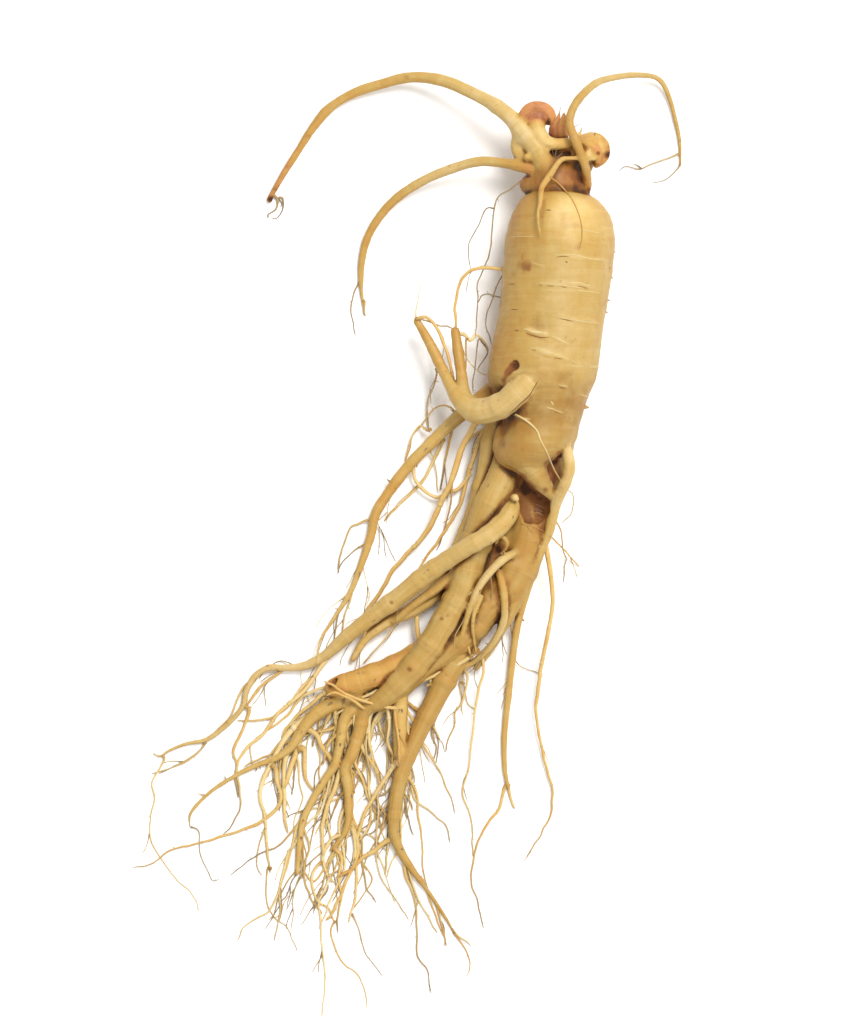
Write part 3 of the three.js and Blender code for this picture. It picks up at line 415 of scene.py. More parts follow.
def routeField(route, axes, lo, voxel, shape, band):
    # distance to a route's skin and length along it, in the block of the grid that it reaches
    reach = route[:, 3].max() + band
    block, inside = blockAround(route[:, :3].min(0) - reach, route[:, :3].max(0) + reach, lo, voxel, shape)
    if not inside:
        return None
    size = [s.stop - s.start for s in block]
    field, along = np.full(size, band, np.float32), np.zeros(size, np.float32)
    lengths = lengthsAlong(route)
    for a, b, start, end in zip(route[:-1], route[1:], lengths[:-1], lengths[1:]):
        margin = max(a[3], b[3]) + band
        low, high = np.minimum(a, b)[:3] - margin, np.maximum(a, b)[:3] + margin
        near, inside = blockAround(low, high, lo, voxel, shape)
        if not inside:
            continue
        x, y, z = np.ix_(*(axes[i][near[i]] - a[i] for i in range(3)))
        d = b[:3] - a[:3]
        t = np.clip((x * d[0] + y * d[1] + z * d[2]) / max(d @ d, 1e-9), 0, 1).astype(np.float32)
        gap = np.sqrt((x - t * d[0]) ** 2 + (y - t * d[1]) ** 2 + (z - t * d[2]) ** 2)
        gap = gap - (a[3] + t * (b[3] - a[3]))
        here = tuple(slice(n.start - k.start, n.stop - k.start) for n, k in zip(near, block))
        closer = gap < field[here]
        field[here] = np.where(closer, gap, field[here])
        along[here] = np.where(closer, start + t * (end - start), along[here])
    return block, field, along


def softJoin(a, b, k):
    h = np.clip(0.5 + 0.5 * (b - a) / k, 0, 1)
    return b * (1 - h) + a * h - k * h * (1 - h)


def buildField(lo, hi, voxel):
    # the distance field, the nearest limb's number (0 is the main root), the distance to hollows, the axes
    band, step = fieldSetup["band"], fieldSetup["step"]
    shape = ((hi - lo) / voxel).astype(int) + 1
    axes = [(lo[i] + voxel * np.arange(shape[i])).astype(np.float32) for i in range(3)]
    x, y, z = np.ix_(*axes)
    field = np.clip(mainRootField(x, y, z), -band, band).astype(np.float32)
    nearest, owner = field.copy(), np.zeros(field.shape, np.int16)
    for number, (name, limb) in enumerate(limbs.items(), 1):
        found = routeField(routes[name], axes, lo, voxel, shape, band)
        if found is None:
            continue
        block, own, along = found
        own = np.maximum(own, -band)
        softness, reach = limb["fillet"]
        field[block] = softJoin(field[block], own, softness * np.exp(-along / reach) + fieldSetup["joint"])
        mine = own < nearest[block]
        nearest[block] = np.where(mine, own, nearest[block])
        owner[block] = np.where(mine, number, owner[block])
    pit = np.full(field.shape, band, np.float32)
    rows = axes[1]
    torn = sum(height * softNoise(np.c_[rows * 0 + shift, rows, rows * 0], size)
               for height, size, shift in fieldSetup["tornLayers"])[None, :, None]
    for hollow in hollows.values():
        found = routeField(smoothPath(hollow["path"], 0.5 * step), axes, lo, voxel, shape, band)
        if found is None:
            continue
        block, own, _ = found
        own = own + torn[:, block[1]] * (own < fieldSetup["tornDepth"])
        field[block] = -softJoin(-field[block], own, hollow["softness"])
        pit[block] = np.minimum(pit[block], own)
    ground = np.broadcast_to(-z, field.shape)
    return -softJoin(-field, -ground, fieldSetup["foot"]), owner, pit, axes


def boxBlur(values, radius):
    # mean over a box, one axis after another
    for axis in range(3):
        padded = np.concatenate([np.repeat(np.take(values, [0], axis), radius + 1, axis), values,
                                 np.repeat(np.take(values, [-1], axis), radius, axis)], axis)
        total = np.cumsum(padded, axis, dtype=np.float32)
        count = values.shape[axis]
        high = np.take(total, np.arange(count) + 2 * radius + 1, axis)
        values = (high - np.take(total, np.arange(count), axis)) / (2 * radius + 1)
    return values


def sample(grid, points, lo, voxel):
    # trilinear lookup of grid at points
    p = np.clip((points - lo) / voxel, 0, np.array(grid.shape) - 1.001)
    cell = p.astype(int)
    f = (p - cell).astype(np.float32)
    total = 0
    for corner in np.ndindex(2, 2, 2):
        w = np.where(corner, f, 1 - f).T
        total = total + grid[tuple((cell + corner).T)] * (w[0] * w[1] * w[2])
    return total


# root skin: colours and their places on the ramp; patterns as scale, detail and roughness, and those that
# follow the root as pace along it, pace round it, detail and roughness; then how strong each is
skinLook = {
    "pale": (0.74, 0.57, 0.36), "cream": (0.63, 0.46, 0.2), "tan": (0.54, 0.355, 0.105),
    "orangeTan": (0.5, 0.27, 0.058), "salmon": (0.52, 0.22, 0.08), "russet": (0.3, 0.1, 0.035),
    # the multiplied grey dulls the skin and is held back on the shoulder for a painted highlight; the two
    # browns after it are painted shade in creases, the near black for the deepest; the red brown serves
    # stains and painted shadow; the pale ridge colour also paints the highlight on the ring crests
    "wornAndSheen": (0.76, 0.74, 0.68), "shade": (0.52, 0.36, 0.2), "creaseShadow": (0.055, 0.018, 0.005),
    "stainAndShadow": (0.21, 0.075, 0.02), "dry": (0.2, 0.15, 0.09), "ridge": (0.86, 0.68, 0.36),
    "stops": {"pale": 0, "cream": 0.15, "tan": 0.4, "orangeTan": 0.64, "salmon": 0.82, "russet": 1},
    "broad": (55, 3, 0.55), "mottle": (330, 5, 0.62), "grainy": (1500, 4, 0.7), "specks": (620, 2, 0.4),
    "lines": (0.85, 70, 4, 0.6), "bands": (0.22, 60, 3, 0.55), "streaks": (0.055, 2.6, 4, 0.6),
    "tone": {"broad": 0.7, "mottle": 0.5, "bands": 0.8, "streaks": 0.9},
    "relief": {"grainy": 0.12, "streaks": 0.9}, "reliefLines": 0.5, "reliefMottle": 0.42,
    "lineDark": 0.17, "lineLight": 0.11, "ridgeShare": 0.5, "speckShare": 0.35,
    "subsurface": 0.14, "depth": 0.0016, "roughness": 0.5, "specular": 0.3, "bump": 0.4, "bumpDepth": 0.0006,
}
rootletLook = {**skinLook, "pale": (0.78, 0.65, 0.42), "cream": (0.7, 0.54, 0.27),
               "tan": (0.61, 0.42, 0.15), "orangeTan": (0.55, 0.31, 0.08)}


def fillInputs(tree, node, inputs):
    # an input takes a value, a socket, or a node that gives its first output
    for key, value in inputs.items():
        if isinstance(value, bpy.types.Node):
            value = value.outputs[0]
        if isinstance(value, bpy.types.NodeSocket):
            tree.links.new(value, node.inputs[key])
        else:
            node.inputs[key].default_value = value


def addNode(tree, kind, inputs=None, **settings):
    node = tree.nodes.new(kind)
    for key, value in settings.items():
        setattr(node, key, value)
    fillInputs(tree, node, inputs or {})
    return node


def rootSkin(name, look, relief=1.0):
    # fresh root skin: cream to orange tan, mottled, ringed across with a painted highlight on the crests,
    # red brown in stains, painted shade in creases and among the stains, dry at tips
    material = bpy.data.materials.new(name)
    material.use_nodes = True
    tree = material.node_tree
    shader = tree.nodes["Principled BSDF"]

    def add(kind, inputs=None, **settings):
        return addNode(tree, kind, inputs, **settings)

    def plus(a, b):
        return add("ShaderNodeMath", {0: a, 1: b}, operation="ADD")

    def times(a, b, more=None, clamp=False):
        # a times b, and more where it is given
        if more is None:
            return add("ShaderNodeMath", {0: a, 1: b}, operation="MULTIPLY", use_clamp=clamp)
        return add("ShaderNodeMath", {0: a, 1: b, 2: more}, operation="MULTIPLY_ADD", use_clamp=clamp)

    def noise(vector, scale, detail, roughness):
        inputs = {"Vector": vector, "Scale": scale, "Detail": detail, "Roughness": roughness}
        return add("ShaderNodeTexNoise", inputs)

    def noiseAlong(pace, side, detail, roughness, sides):
        # noise at one pace along the root and another round it
        vector = {0: times(along, pace), 1: times(sides[0], side), 2: times(sides[1], side)}
        return noise(add("ShaderNodeCombineXYZ", vector), 1, detail, roughness)

    def between(value, low, high, toLow=0, toHigh=1):
        inputs = {"Value": value, "From Min": low, "From Max": high, "To Min": toLow, "To Max": toHigh}
        return add("ShaderNodeMapRange", inputs, interpolation_type="SMOOTHSTEP")

    def mix(factor, colour, key, blend="MIX"):
        inputs = {0: factor, 6: colour, 7: (*look[key], 1)}
        return add("ShaderNodeMix", inputs, data_type="RGBA", blend_type=blend).outputs[2]

    ripeAndShade, creviceShade, stainAndShadow, along, ridge, dry, wornAndSheen, across, over = (
        add("ShaderNodeAttribute", attribute_name=key).outputs["Fac"]
        for key in ("ripeAndShade", "creviceShade", "stainAndShadow", "along", "ridge", "dry", "wornAndSheen", "across", "over"))
    place = add("ShaderNodeTexCoord").outputs["Object"]
    split = add("ShaderNodeSeparateXYZ", {0: place})
    plan = split.outputs[0], split.outputs[2]
    pattern = {key: noise(place, *look[key]) for key in ("broad", "mottle", "grainy", "specks")}
    pattern["bands"] = noiseAlong(*look["bands"], plan)
    pattern["streaks"] = noiseAlong(*look["streaks"], (across, over))  # lengthwise
    lines, mottle = noiseAlong(*look["lines"], plan), pattern["mottle"]

    tone = ripeAndShade
    for key, strength in look["tone"].items():
        tone = plus(tone, times(pattern[key], strength, -strength / 2))
    ramp = add("ShaderNodeValToRGB", {0: times(tone, 0.5, 0.15)})
    for at in (0.2, 0.4, 0.6, 0.8):
        ramp.color_ramp.elements.new(at)
    for element, (key, at) in zip(ramp.color_ramp.elements, look["stops"].items()):
        element.position, element.color = at, (*look[key], 1)
    colour = mix(times(between(lines, 0.56, 0.7), look["lineDark"]), ramp, "orangeTan")
    colour = mix(times(between(lines, 0.44, 0.32), look["lineLight"]), colour, "ridge")
    # painted highlight along the ring crests
    colour = mix(times(ridge, look["ridgeShare"], clamp=True), colour, "ridge")
    colour = mix(times(between(pattern["specks"], 0.68, 0.76), look["speckShare"]), colour, "russet")
    colour = mix(wornAndSheen, colour, "wornAndSheen", "MULTIPLY")
    # painted shade in creases: multiplied darker, and near black in the deepest
    shadedCrease = times(creviceShade, times(mottle, 0.8, 0.6), clamp=True)
    colour = mix(between(shadedCrease, 0, 0.5), colour, "shade", "MULTIPLY")
    colour = mix(between(shadedCrease, 0.4, 1, 0, 0.92), colour, "creaseShadow")
    # red brown stains, also used as painted shadow; the strongest go near black
    stainedAndShaded = times(stainAndShadow, times(mottle, 1.2, 0.4))
    colour = mix(between(stainedAndShaded, 0.08, 0.95, 0, 0.85), colour, "stainAndShadow")
    colour = mix(between(stainedAndShaded, 1, 1.9, 0, 0.95), colour, "creaseShadow")
    colour = mix(times(dry, times(mottle, 0.8, 0.55), clamp=True), colour, "dry")
    gloss = times(between(stainAndShadow, 0.2, 1), 0.35, times(mottle, 0.22, look["roughness"] - 0.11))
    height = times(lines, look["reliefLines"] * relief, times(mottle, look["reliefMottle"] * relief))
    for key, strength in look["relief"].items():
        height = plus(height, times(pattern[key], strength * relief))
    bump = add("ShaderNodeBump", {"Strength": look["bump"], "Distance": look["bumpDepth"], "Height": height})
    fillInputs(tree, shader, {
        "Base Color": colour, "Roughness": gloss, "Normal": bump, "Subsurface Weight": look["subsurface"],
        "Subsurface Radius": (1, 0.5, 0.2), "Subsurface Scale": look["depth"],
        "Specular IOR Level": look["specular"]})
    return material


skinMaterial = rootSkin("rootSkin", skinLook)
rootletMaterial = rootSkin("rootletSkin", rootletLook, 0.7)
print("materials made")

# relief lines on the main root: from x, y to x, y, then height and width; a minus height is a groove
ringMarks = [
    (0.4, 21.6, 18.2, 20, 0.16, 0.7), (-6.1, 19.4, -2.1, 18.1, 0.14, 0.5),
    (-4.7, 13.2, 12.2, 11.9, 0.22, 0.6), (7.4, 11.1, 14.5, 10.5, 0.1, 0.5), (0, 3.8, 15.3, 1.2, 0.2, 0.6),
    (-8.2, -0.3, -0.9, -2.1, 0.4, 0.8), (-1.1, -2.1, 5.2, -4.8, 0.16, 0.5),
    (-6.1, -5.9, 5.4, -9.4, 0.3, 0.7), (5.4, -9.4, 14.2, -11.6, 0.14, 0.5),
    (2.1, -16.9, 5, -17.4, 0.2, 0.5), (-1.5, -23.5, 3.6, -25.2, 0.2, 0.5),
    (-11.2, -25.7, -6, -27.2, 0.24, 0.6), (-12, 27.4, -5.2, 27, 0.12, 0.5), (-14, 7, -6, 6.4, -0.1, 0.6),
    (-15, -8.6, -7.6, -7.6, 0.1, 0.5), (-12, 32.6, 2, 33, -0.08, 0.6), (4, 29.4, 16, 28.6, 0.08, 0.6),
    (8, -19.4, 12.4, -20.4, 0.12, 0.5), (-13, 12.6, -8, 12, -0.1, 0.5), (3, -29, 7.6, -29.6, 0.14, 0.5),
    (-7, -32.6, 1, -33, -0.1, 0.6),
]

# stains and painted shadows: x, y, height, radius, strength of the red brown; only within reach of that
# height
stainsAndShadows = [
    # some of those round the neck, under the bud stalk and in the torn pit are painted shadow; strong ones
    # go near black
    (-8, 18.6, 29, 1.9, 0.9), (-7.9, 20.4, 30, 0.5, 0.9), (-6.6, 17.4, 30, 1.2, 0.35),
    (-9.9, 14.9, 29, 0.6, 0.9), (-11.4, 15.6, 27, 1.8, 0.4), (-11, 9.6, 27, 2.6, 0.22),
    (-9, 2.4, 29, 1.8, 0.3), (-12.4, 22, 26, 2.4, 0.2), (4.4, 19.4, 31, 0.34, 1.8),
    (7.8, 23.4, 30, 1.2, 0.5), (8.1, 25, 30, 0.6, 0.4), (-8.8, 31.9, 27, 0.5, 0.6),
    (-10.4, -0.8, 28, 0.6, 0.8), (-10.9, -11.3, 27.8, 1.1, 1.5), (-12.8, -12.8, 27, 1.4, 0.5),
    (-14.4, -15.2, 26, 1.2, 0.35), (12, 7.1, 28, 1.4, -0.3), (13.4, 25, 24, 0.4, 0.5),
    (10.8, -23.1, 17, 0.7, 1.4), (-17.2, -17.6, 16, 0.6, 0.9), (-19.6, -18.8, 10, 3.2, 0.32),
    (17.6, 18.2, 20, 0.3, 0.9), (-40.6, -84.8, 13, 0.8, 0.5), (-42, -101.9, 12, 0.8, 1),
    (-47.5, -81.8, 11, 0.7, 0.9), (-38.1, -74.8, 14, 0.6, 0.5), (-54.3, -90.6, 7, 0.6, 0.8),
    (-38.9, -80.5, 9, 0.5, 0.9), (-56, -102.9, 8, 0.8, 0.45), (-14.4, -28.4, 13, 1.9, 1),
    (-15.2, -32.4, 12, 1.8, 0.9), (-13.6, -25.4, 14, 1.4, 0.9), (-32.5, -86.6, 13.5, 0.8, 1.1),
    (-30.8, -85.6, 14, 0.6, 0.6), (-28.4, -81.6, 14, 0.7, 0.45), (-43, 76, 7, 0.9, 0.5),
    (-72.8, 58.8, 2, 1.2, 0.45), (-69.6, 63.8, 2, 0.8, 0.4), (-79, 49.6, 2, 0.6, 0.5),
    (-82.6, 42.6, 2, 1.8, 0.8), (-84.2, 39.8, 1, 1.2, 2.2), (-13.2, 54.8, 19, 0.7, 0.3),
    (-20.4, -24.6, 25, 0.5, 0.4), (17.6, 52, 18, 1.1, 3.2), (17.2, 54.4, 18, 0.9, 1),
    (14.1, 52.2, 21, 0.6, 1.9), (15.4, 56.2, 18, 1.4, 0.4), (7.6, 45.6, 18, 2.4, 1.3),
    (4.4, 47.6, 18, 1.3, 0.8), (9.4, 44, 17, 1.6, 1.2), (11.4, 41.4, 17, 0.8, 1.6),
    (-3.6, 46.6, 18, 1.6, 0.8), (2.4, 52.2, 17.6, 1.5, 1.6), (-0.4, 52.6, 18, 1.2, 1.5),
    (5.2, 52.4, 18, 1.2, 1.6), (-4.4, 41.2, 17, 1.4, 0.6), (3, 41.2, 18, 1.6, 0.6),
    (-0.8, 61.4, 18.6, 0.7, 2), (-0.6, 62.6, 20, 0.5, 1.2), (-57, -31, 2, 1, 0.4),
    (-65, -107.2, 6, 1.3, 0.6), (-66, -106.6, 6, 0.7, 1.8), (-1.6, -47.8, 19.6, 0.9, 0.8),
    (0.8, -40, 18, 2.4, 1.2), (2.6, -37.4, 20, 1.4, 1), (1.8, -43.8, 16, 2.2, 1.2),
    (-8.4, -44.6, 15, 2.2, 1.3), (-7, -47.2, 14, 2.4, 1.5), (-4.4, -48.8, 13, 2.3, 1.2),
    (-2, -50.6, 13, 1.8, 1), (-1.2, -53, 13, 1.2, 0.9), (-9, -48.6, 14, 1.6, 0.8),
    (-3.4, -57.4, 13, 2.2, 0.5), (-15.4, -66, 12, 1.4, 1.6), (-11.6, -58.6, 12, 0.8, 1),
]

# tones of the main root: what its parts add to how ripe it is, with painted shade on the flanks and a
# painted highlight on the shoulder patch, and the darker waist
mainTones = {"ripeAndShade": 0.4, "shoulder": 0.2, "lowerEnd": 0.1, "flankShade": 0.34, "underside": 0.3, "highlightPatch": -0.4,
             "waistShade": 0.24, "crotchRelief": 0.6}

# relief of the skin, then the painted shade in creases: how far round a point the flesh is weighed, and how
# dark that shade gets
reliefSetup = {"lumps": 0.34, "lumpSize": 11, "dents": 0.16, "dentSize": 4.5, "rings": 0.1, "grain": 0.1,
               "limbGrain": 0.1, "pores": 0.035, "poreSize": 1.3, "creaseReach": 1.5, "shadeReach": 4.2,
               "creaseShadow": 0.75, "wideShade": 0.55, "toneReach": 2.4}


def pathFrame(route, points):
    # for each point: length along the route, unit offset from it, and the route's radius there
    along, offset = np.zeros(len(points)), np.zeros((len(points), 3))
    radius, best = np.ones(len(points)), np.full(len(points), 1e9)
    lengths = lengthsAlong(route)
    for a, b, start, end in zip(route[:-1], route[1:], lengths[:-1], lengths[1:]):
        d = (b - a)[:3]
        t = np.clip((points - a[:3]) @ d / max(d @ d, 1e-9), 0, 1)
        away = points - a[:3] - t[:, None] * d
        gap = np.linalg.norm(away, axis=1)
        closer = gap < best
        best = np.where(closer, gap, best)
        along[closer] = (start + t * (end - start))[closer]
        radius[closer] = (a[3] + t * (b[3] - a[3]))[closer]
        offset[closer] = away[closer]
    return along, offset / np.maximum(best, 1e-6)[:, None], radius


def markRelief(points):
    # raised ring lines and grooves on the front, and a painted highlight along their crests
    lift, crestHighlight = np.zeros(len(points)), np.zeros(len(points))
    front = fade(points[:, 2], 9, 6)
    for x0, y0, x1, y1, height, width in ringMarks:
        d = np.array([x1 - x0, y1 - y0])
        size = np.hypot(*d)
        rel = points[:, :2] - (x0, y0)
        t = rel @ d / size**2
        side = (rel[:, 1] * d[0] - rel[:, 0] * d[1]) / size  # up the root
        side = side + 0.5 * softNoise(points * (1, 0, 0), 3, x0)
        window = np.clip(t * 6, 0, 1) * np.clip((1 - t) * 6, 0, 1) * front
        window = window * (0.72 + 0.4 * softNoise(points, 1.8, y0))
        bell = np.exp(-((side / width) ** 2))
        under = np.exp(-(((side + 1.5 * width) / width) ** 2))
        lift += height * window * (bell - 0.45 * under)
        crestHighlight += np.sign(height) * min(abs(height) * 2.4, 1) * window * (bell - 0.6 * under)
    return lift, crestHighlight


def softened(values, mesh, rounds):
    # each point takes the mean of its neighbours, so tones run into each other where limbs meet
    ends = np.empty(len(mesh.edges) * 2, np.int32)
    mesh.edges.foreach_get("vertices", ends)
    ends = ends.reshape(-1, 2)
    count = np.bincount(ends.ravel(), minlength=len(values)).clip(1)
    for _ in range(rounds):
        around = np.bincount(ends[:, 0], values[ends[:, 1]], len(values))
        around += np.bincount(ends[:, 1], values[ends[:, 0]], len(values))
        values = 0.3 * values + 0.7 * around / count
    return values


def skinMesh(name, field, axes, lo, voxel, side):
    # the field's surface; side 1 keeps what lies above the swap line, -1 what lies below
    past = (fieldSetup["splitY"] - axes[1][None, :, None]) * side  # how far past the swap line
    swap = np.clip(past / 2 + 0.5, 0, 1)
    sunk = field + fieldSetup["tuck"] * swap * swap * (3 - 2 * swap)
    trimmed = np.maximum(sunk, past - fieldSetup["overlap"])
    grid = openvdb.FloatGrid(fieldSetup["band"])
    grid.copyFromArray(np.ascontiguousarray(trimmed, np.float32))
    points, triangles, quads = grid.convertToPolygons(isovalue=0.0)
    points, faces = points * voxel + lo, quads.tolist() + triangles.tolist()
    mesh = bpy.data.meshes.new(name)
    mesh.from_pydata(points.tolist(), [], faces)
    mesh.update()
    corners = points[quads[:, :3]]
    if np.einsum("ij,ij->i", corners[:, 0], np.cross(corners[:, 1], corners[:, 2])).sum() < 0:
        mesh.flip_normals()
    normals = np.zeros(len(points) * 3, np.float32)
    mesh.vertex_normals.foreach_get("vector", normals)
    return mesh, points, faces, normals.reshape(-1, 3)


def skinTones(points, whose):
    # for each point: length along its limb, offset from it, girth, and how ripe, worn and shaded it is
    count, onMain = len(points), whose == 0
    along, girth, joint = -points[:, 1].copy(), np.full(count, 15.0), np.zeros(count)
    ripeAndShade, wornAndSheen, shade = np.zeros(count), np.ones(count), np.zeros(count)
    around = (points - (1.5, 0, mainRoot["height"])) * (1, 0, 1)
    around /= np.maximum(np.linalg.norm(around, axis=1), 1e-6)[:, None]
    for number, (name, limb) in enumerate(limbs.items(), 1):
        mine = np.nonzero(whose == number)[0]
        if not len(mine):
            continue
        route = routes[name]
        s, offset, radius = pathFrame(route, points[mine])
        along[mine], around[mine], girth[mine] = s + 37 * number, offset, radius
        share = s / lengthsAlong(route)[-1]
        ripeAndShade[mine] = np.interp(share, np.linspace(0, 1, len(limb["ripeAndShade"])), limb["ripeAndShade"])
        if limb["path"][0][1] < 38:  # off the main root: the tone of a joint runs into the limb
            joint[mine] = np.exp(-((s / (1.6 * route[0, 3])) ** 2))
        wornAndSheen[mine], shade[mine] = np.maximum(limb.get("wornAndSheen", 0), joint[mine]), limb.get("shade", 0)

    def highlightPatch(x, y, width, length):
        return np.exp(-(((points[:, 0] - x) / width) ** 2) - ((points[:, 1] - y) / length) ** 2)

    y, tones = points[:, 1], mainTones
    # painted shade: the flanks of the main root riper and darker, the left one most
    flankShade = np.clip(-around[:, 0] * 1.6 - 0.35, 0, 1) + 0.4 * np.clip(around[:, 0] * 1.6 - 0.6, 0, 1)
    base = tones["ripeAndShade"] + tones["shoulder"] * fade(y, 30, 10) + tones["lowerEnd"] * fade(-y, 4, 30)
    base += tones["flankShade"] * flankShade
    base += tones["underside"] * fade(-points[:, 2], -10, 10)
    # painted highlight: a paler patch on the shoulder
    base += tones["highlightPatch"] * highlightPatch(6, 37, 6, 4)
    shade += onMain * tones["waistShade"] * fade(-y, 10, 12) * (1 - tones["crotchRelief"] * fade(-y, 27, 8))
    # painted highlight: the same patch is less dulled
    wornAndSheen -= onMain * highlightPatch(7, 36, 9, 9)  # brighter on the shoulder
    ripeAndShade += (base - ripeAndShade) * np.where(onMain, 1, joint * (y > -60))
    return along, around, girth, ripeAndShade, wornAndSheen, shade


def makeSkinPiece(name, low, high, voxel, side):
    lo, relief = np.array(low, float), reliefSetup
    field, owner, pit, axes = buildField(lo, np.array(high, float), voxel)
    filled = np.clip(0.5 - field / voxel, 0, 1).astype(np.float32)
    near, wide = (boxBlur(filled, round(relief[key] / voxel)) for key in ("creaseReach", "shadeReach"))
    mesh, points, faces, normals = skinMesh(name, field, axes, lo, voxel, side)
    index = np.clip(np.round((points - lo) / voxel).astype(int), 0, np.array(owner.shape) - 1)
    whose = owner[tuple(index.T)]
    onMain = whose == 0
    along, around, girth, *tones = skinTones(points, whose)
    rounds = round(relief["toneReach"] / voxel) ** 2 // 3
    ripeAndShade, wornAndSheen, shade = (softened(values, mesh, rounds) for values in tones)

    # slow lumps, rings across, grain lengthwise, and the marks on the main root
    scale = fade(girth, 0, 6).clip(0.16)
    rings = softNoise(np.c_[along / 1.3, around[:, 0] * 1.3, around[:, 1:].sum(1) * 1.3], 1)
    grain = softNoise(np.c_[along / 10, around[:, 0] * 5, (around[:, 1] + around[:, 2]) * 5], 1, 3)
    lumps = relief["lumps"] * softNoise(points, relief["lumpSize"])
    dents = relief["dents"] * softNoise(points, relief["dentSize"], 5)
    lift = scale * (lumps + dents + relief["rings"] * rings + relief["grain"] * grain)
    pores = relief["pores"] * softNoise(points, relief["poreSize"], 8)
    lift += pores + relief["limbGrain"] * scale * grain * ~onMain
    marks, crestHighlight = markRelief(points)
    lift += marks * onMain
    free = fade(points[:, 2], 0, 1.2)  # the resting flat stays flat
    points = points + normals * (lift * free)[:, None]
    points[:, 2] = np.maximum(points[:, 2], 0)
    mesh.vertices.foreach_set("co", (points * mm).astype(np.float32).ravel())

    # painted shade in creases; red brown in the hollows and at the stains, some of which are painted shadow
    tight = fade(sample(near, points + normals * 0.6, lo, voxel), 0.35, 0.26)
    broad = fade(sample(wide, points + normals * 0.8, lo, voxel), 0.43, 0.25)
    pitted = np.clip(1 - np.maximum(sample(pit, points, lo, voxel), 0) / 0.7, 0, 1)
    layered = softNoise(points * (0.25, 1, 0.6), 0.8, 2)
    stainedAndShaded = pitted * (0.66 + 0.3 * softNoise(points, 1.1, 4) + 0.3 * layered)
    for x, y, z, radius, strength in stainsAndShadows:
        gap = np.linalg.norm((points - (x, y, z)) * (1, 1.15, 0.35), axis=1)
        gap = gap + 0.5 * radius * softNoise(points, 1.6, x)
        stainedAndShaded += strength * np.exp(-((np.maximum(gap, 0) / radius) ** 2))
    # painted shade: each limb's shade plus the near and wide occlusion estimates
    creviceShade = np.clip(shade + relief["creaseShadow"] * tight + relief["wideShade"] * broad, 0, 1)
    addLayers(mesh, {
        "ripeAndShade": ripeAndShade, "creviceShade": creviceShade, "stainAndShadow": stainedAndShaded, "along": along, "dry": np.zeros(len(points)),
        "ridge": np.clip(crestHighlight * onMain, 0, 1), "wornAndSheen": np.clip(wornAndSheen, 0, 1),
        "across": around[:, 0] - around[:, 1], "over": around[:, 2]})
    mesh.shade_smooth()
    mesh.materials.append(skinMaterial)
    addPiece(name, mesh)
    skinTrees.append(BVHTree.FromPolygons((points * mm).tolist(), faces))
    print(name, "faces", len(mesh.polygons))


skinTrees = []
split, lap = fieldSetup["splitY"], fieldSetup["overlap"]
makeSkinPiece("main_root_and_arms", (-88, split - lap - 3, -2), (43, 81, 34), fieldSetup["voxel"], 1)
makeSkinPiece("legs", (-126, -200, -2), (13, split + lap + 3, 32), fieldSetup["legVoxel"], -1)

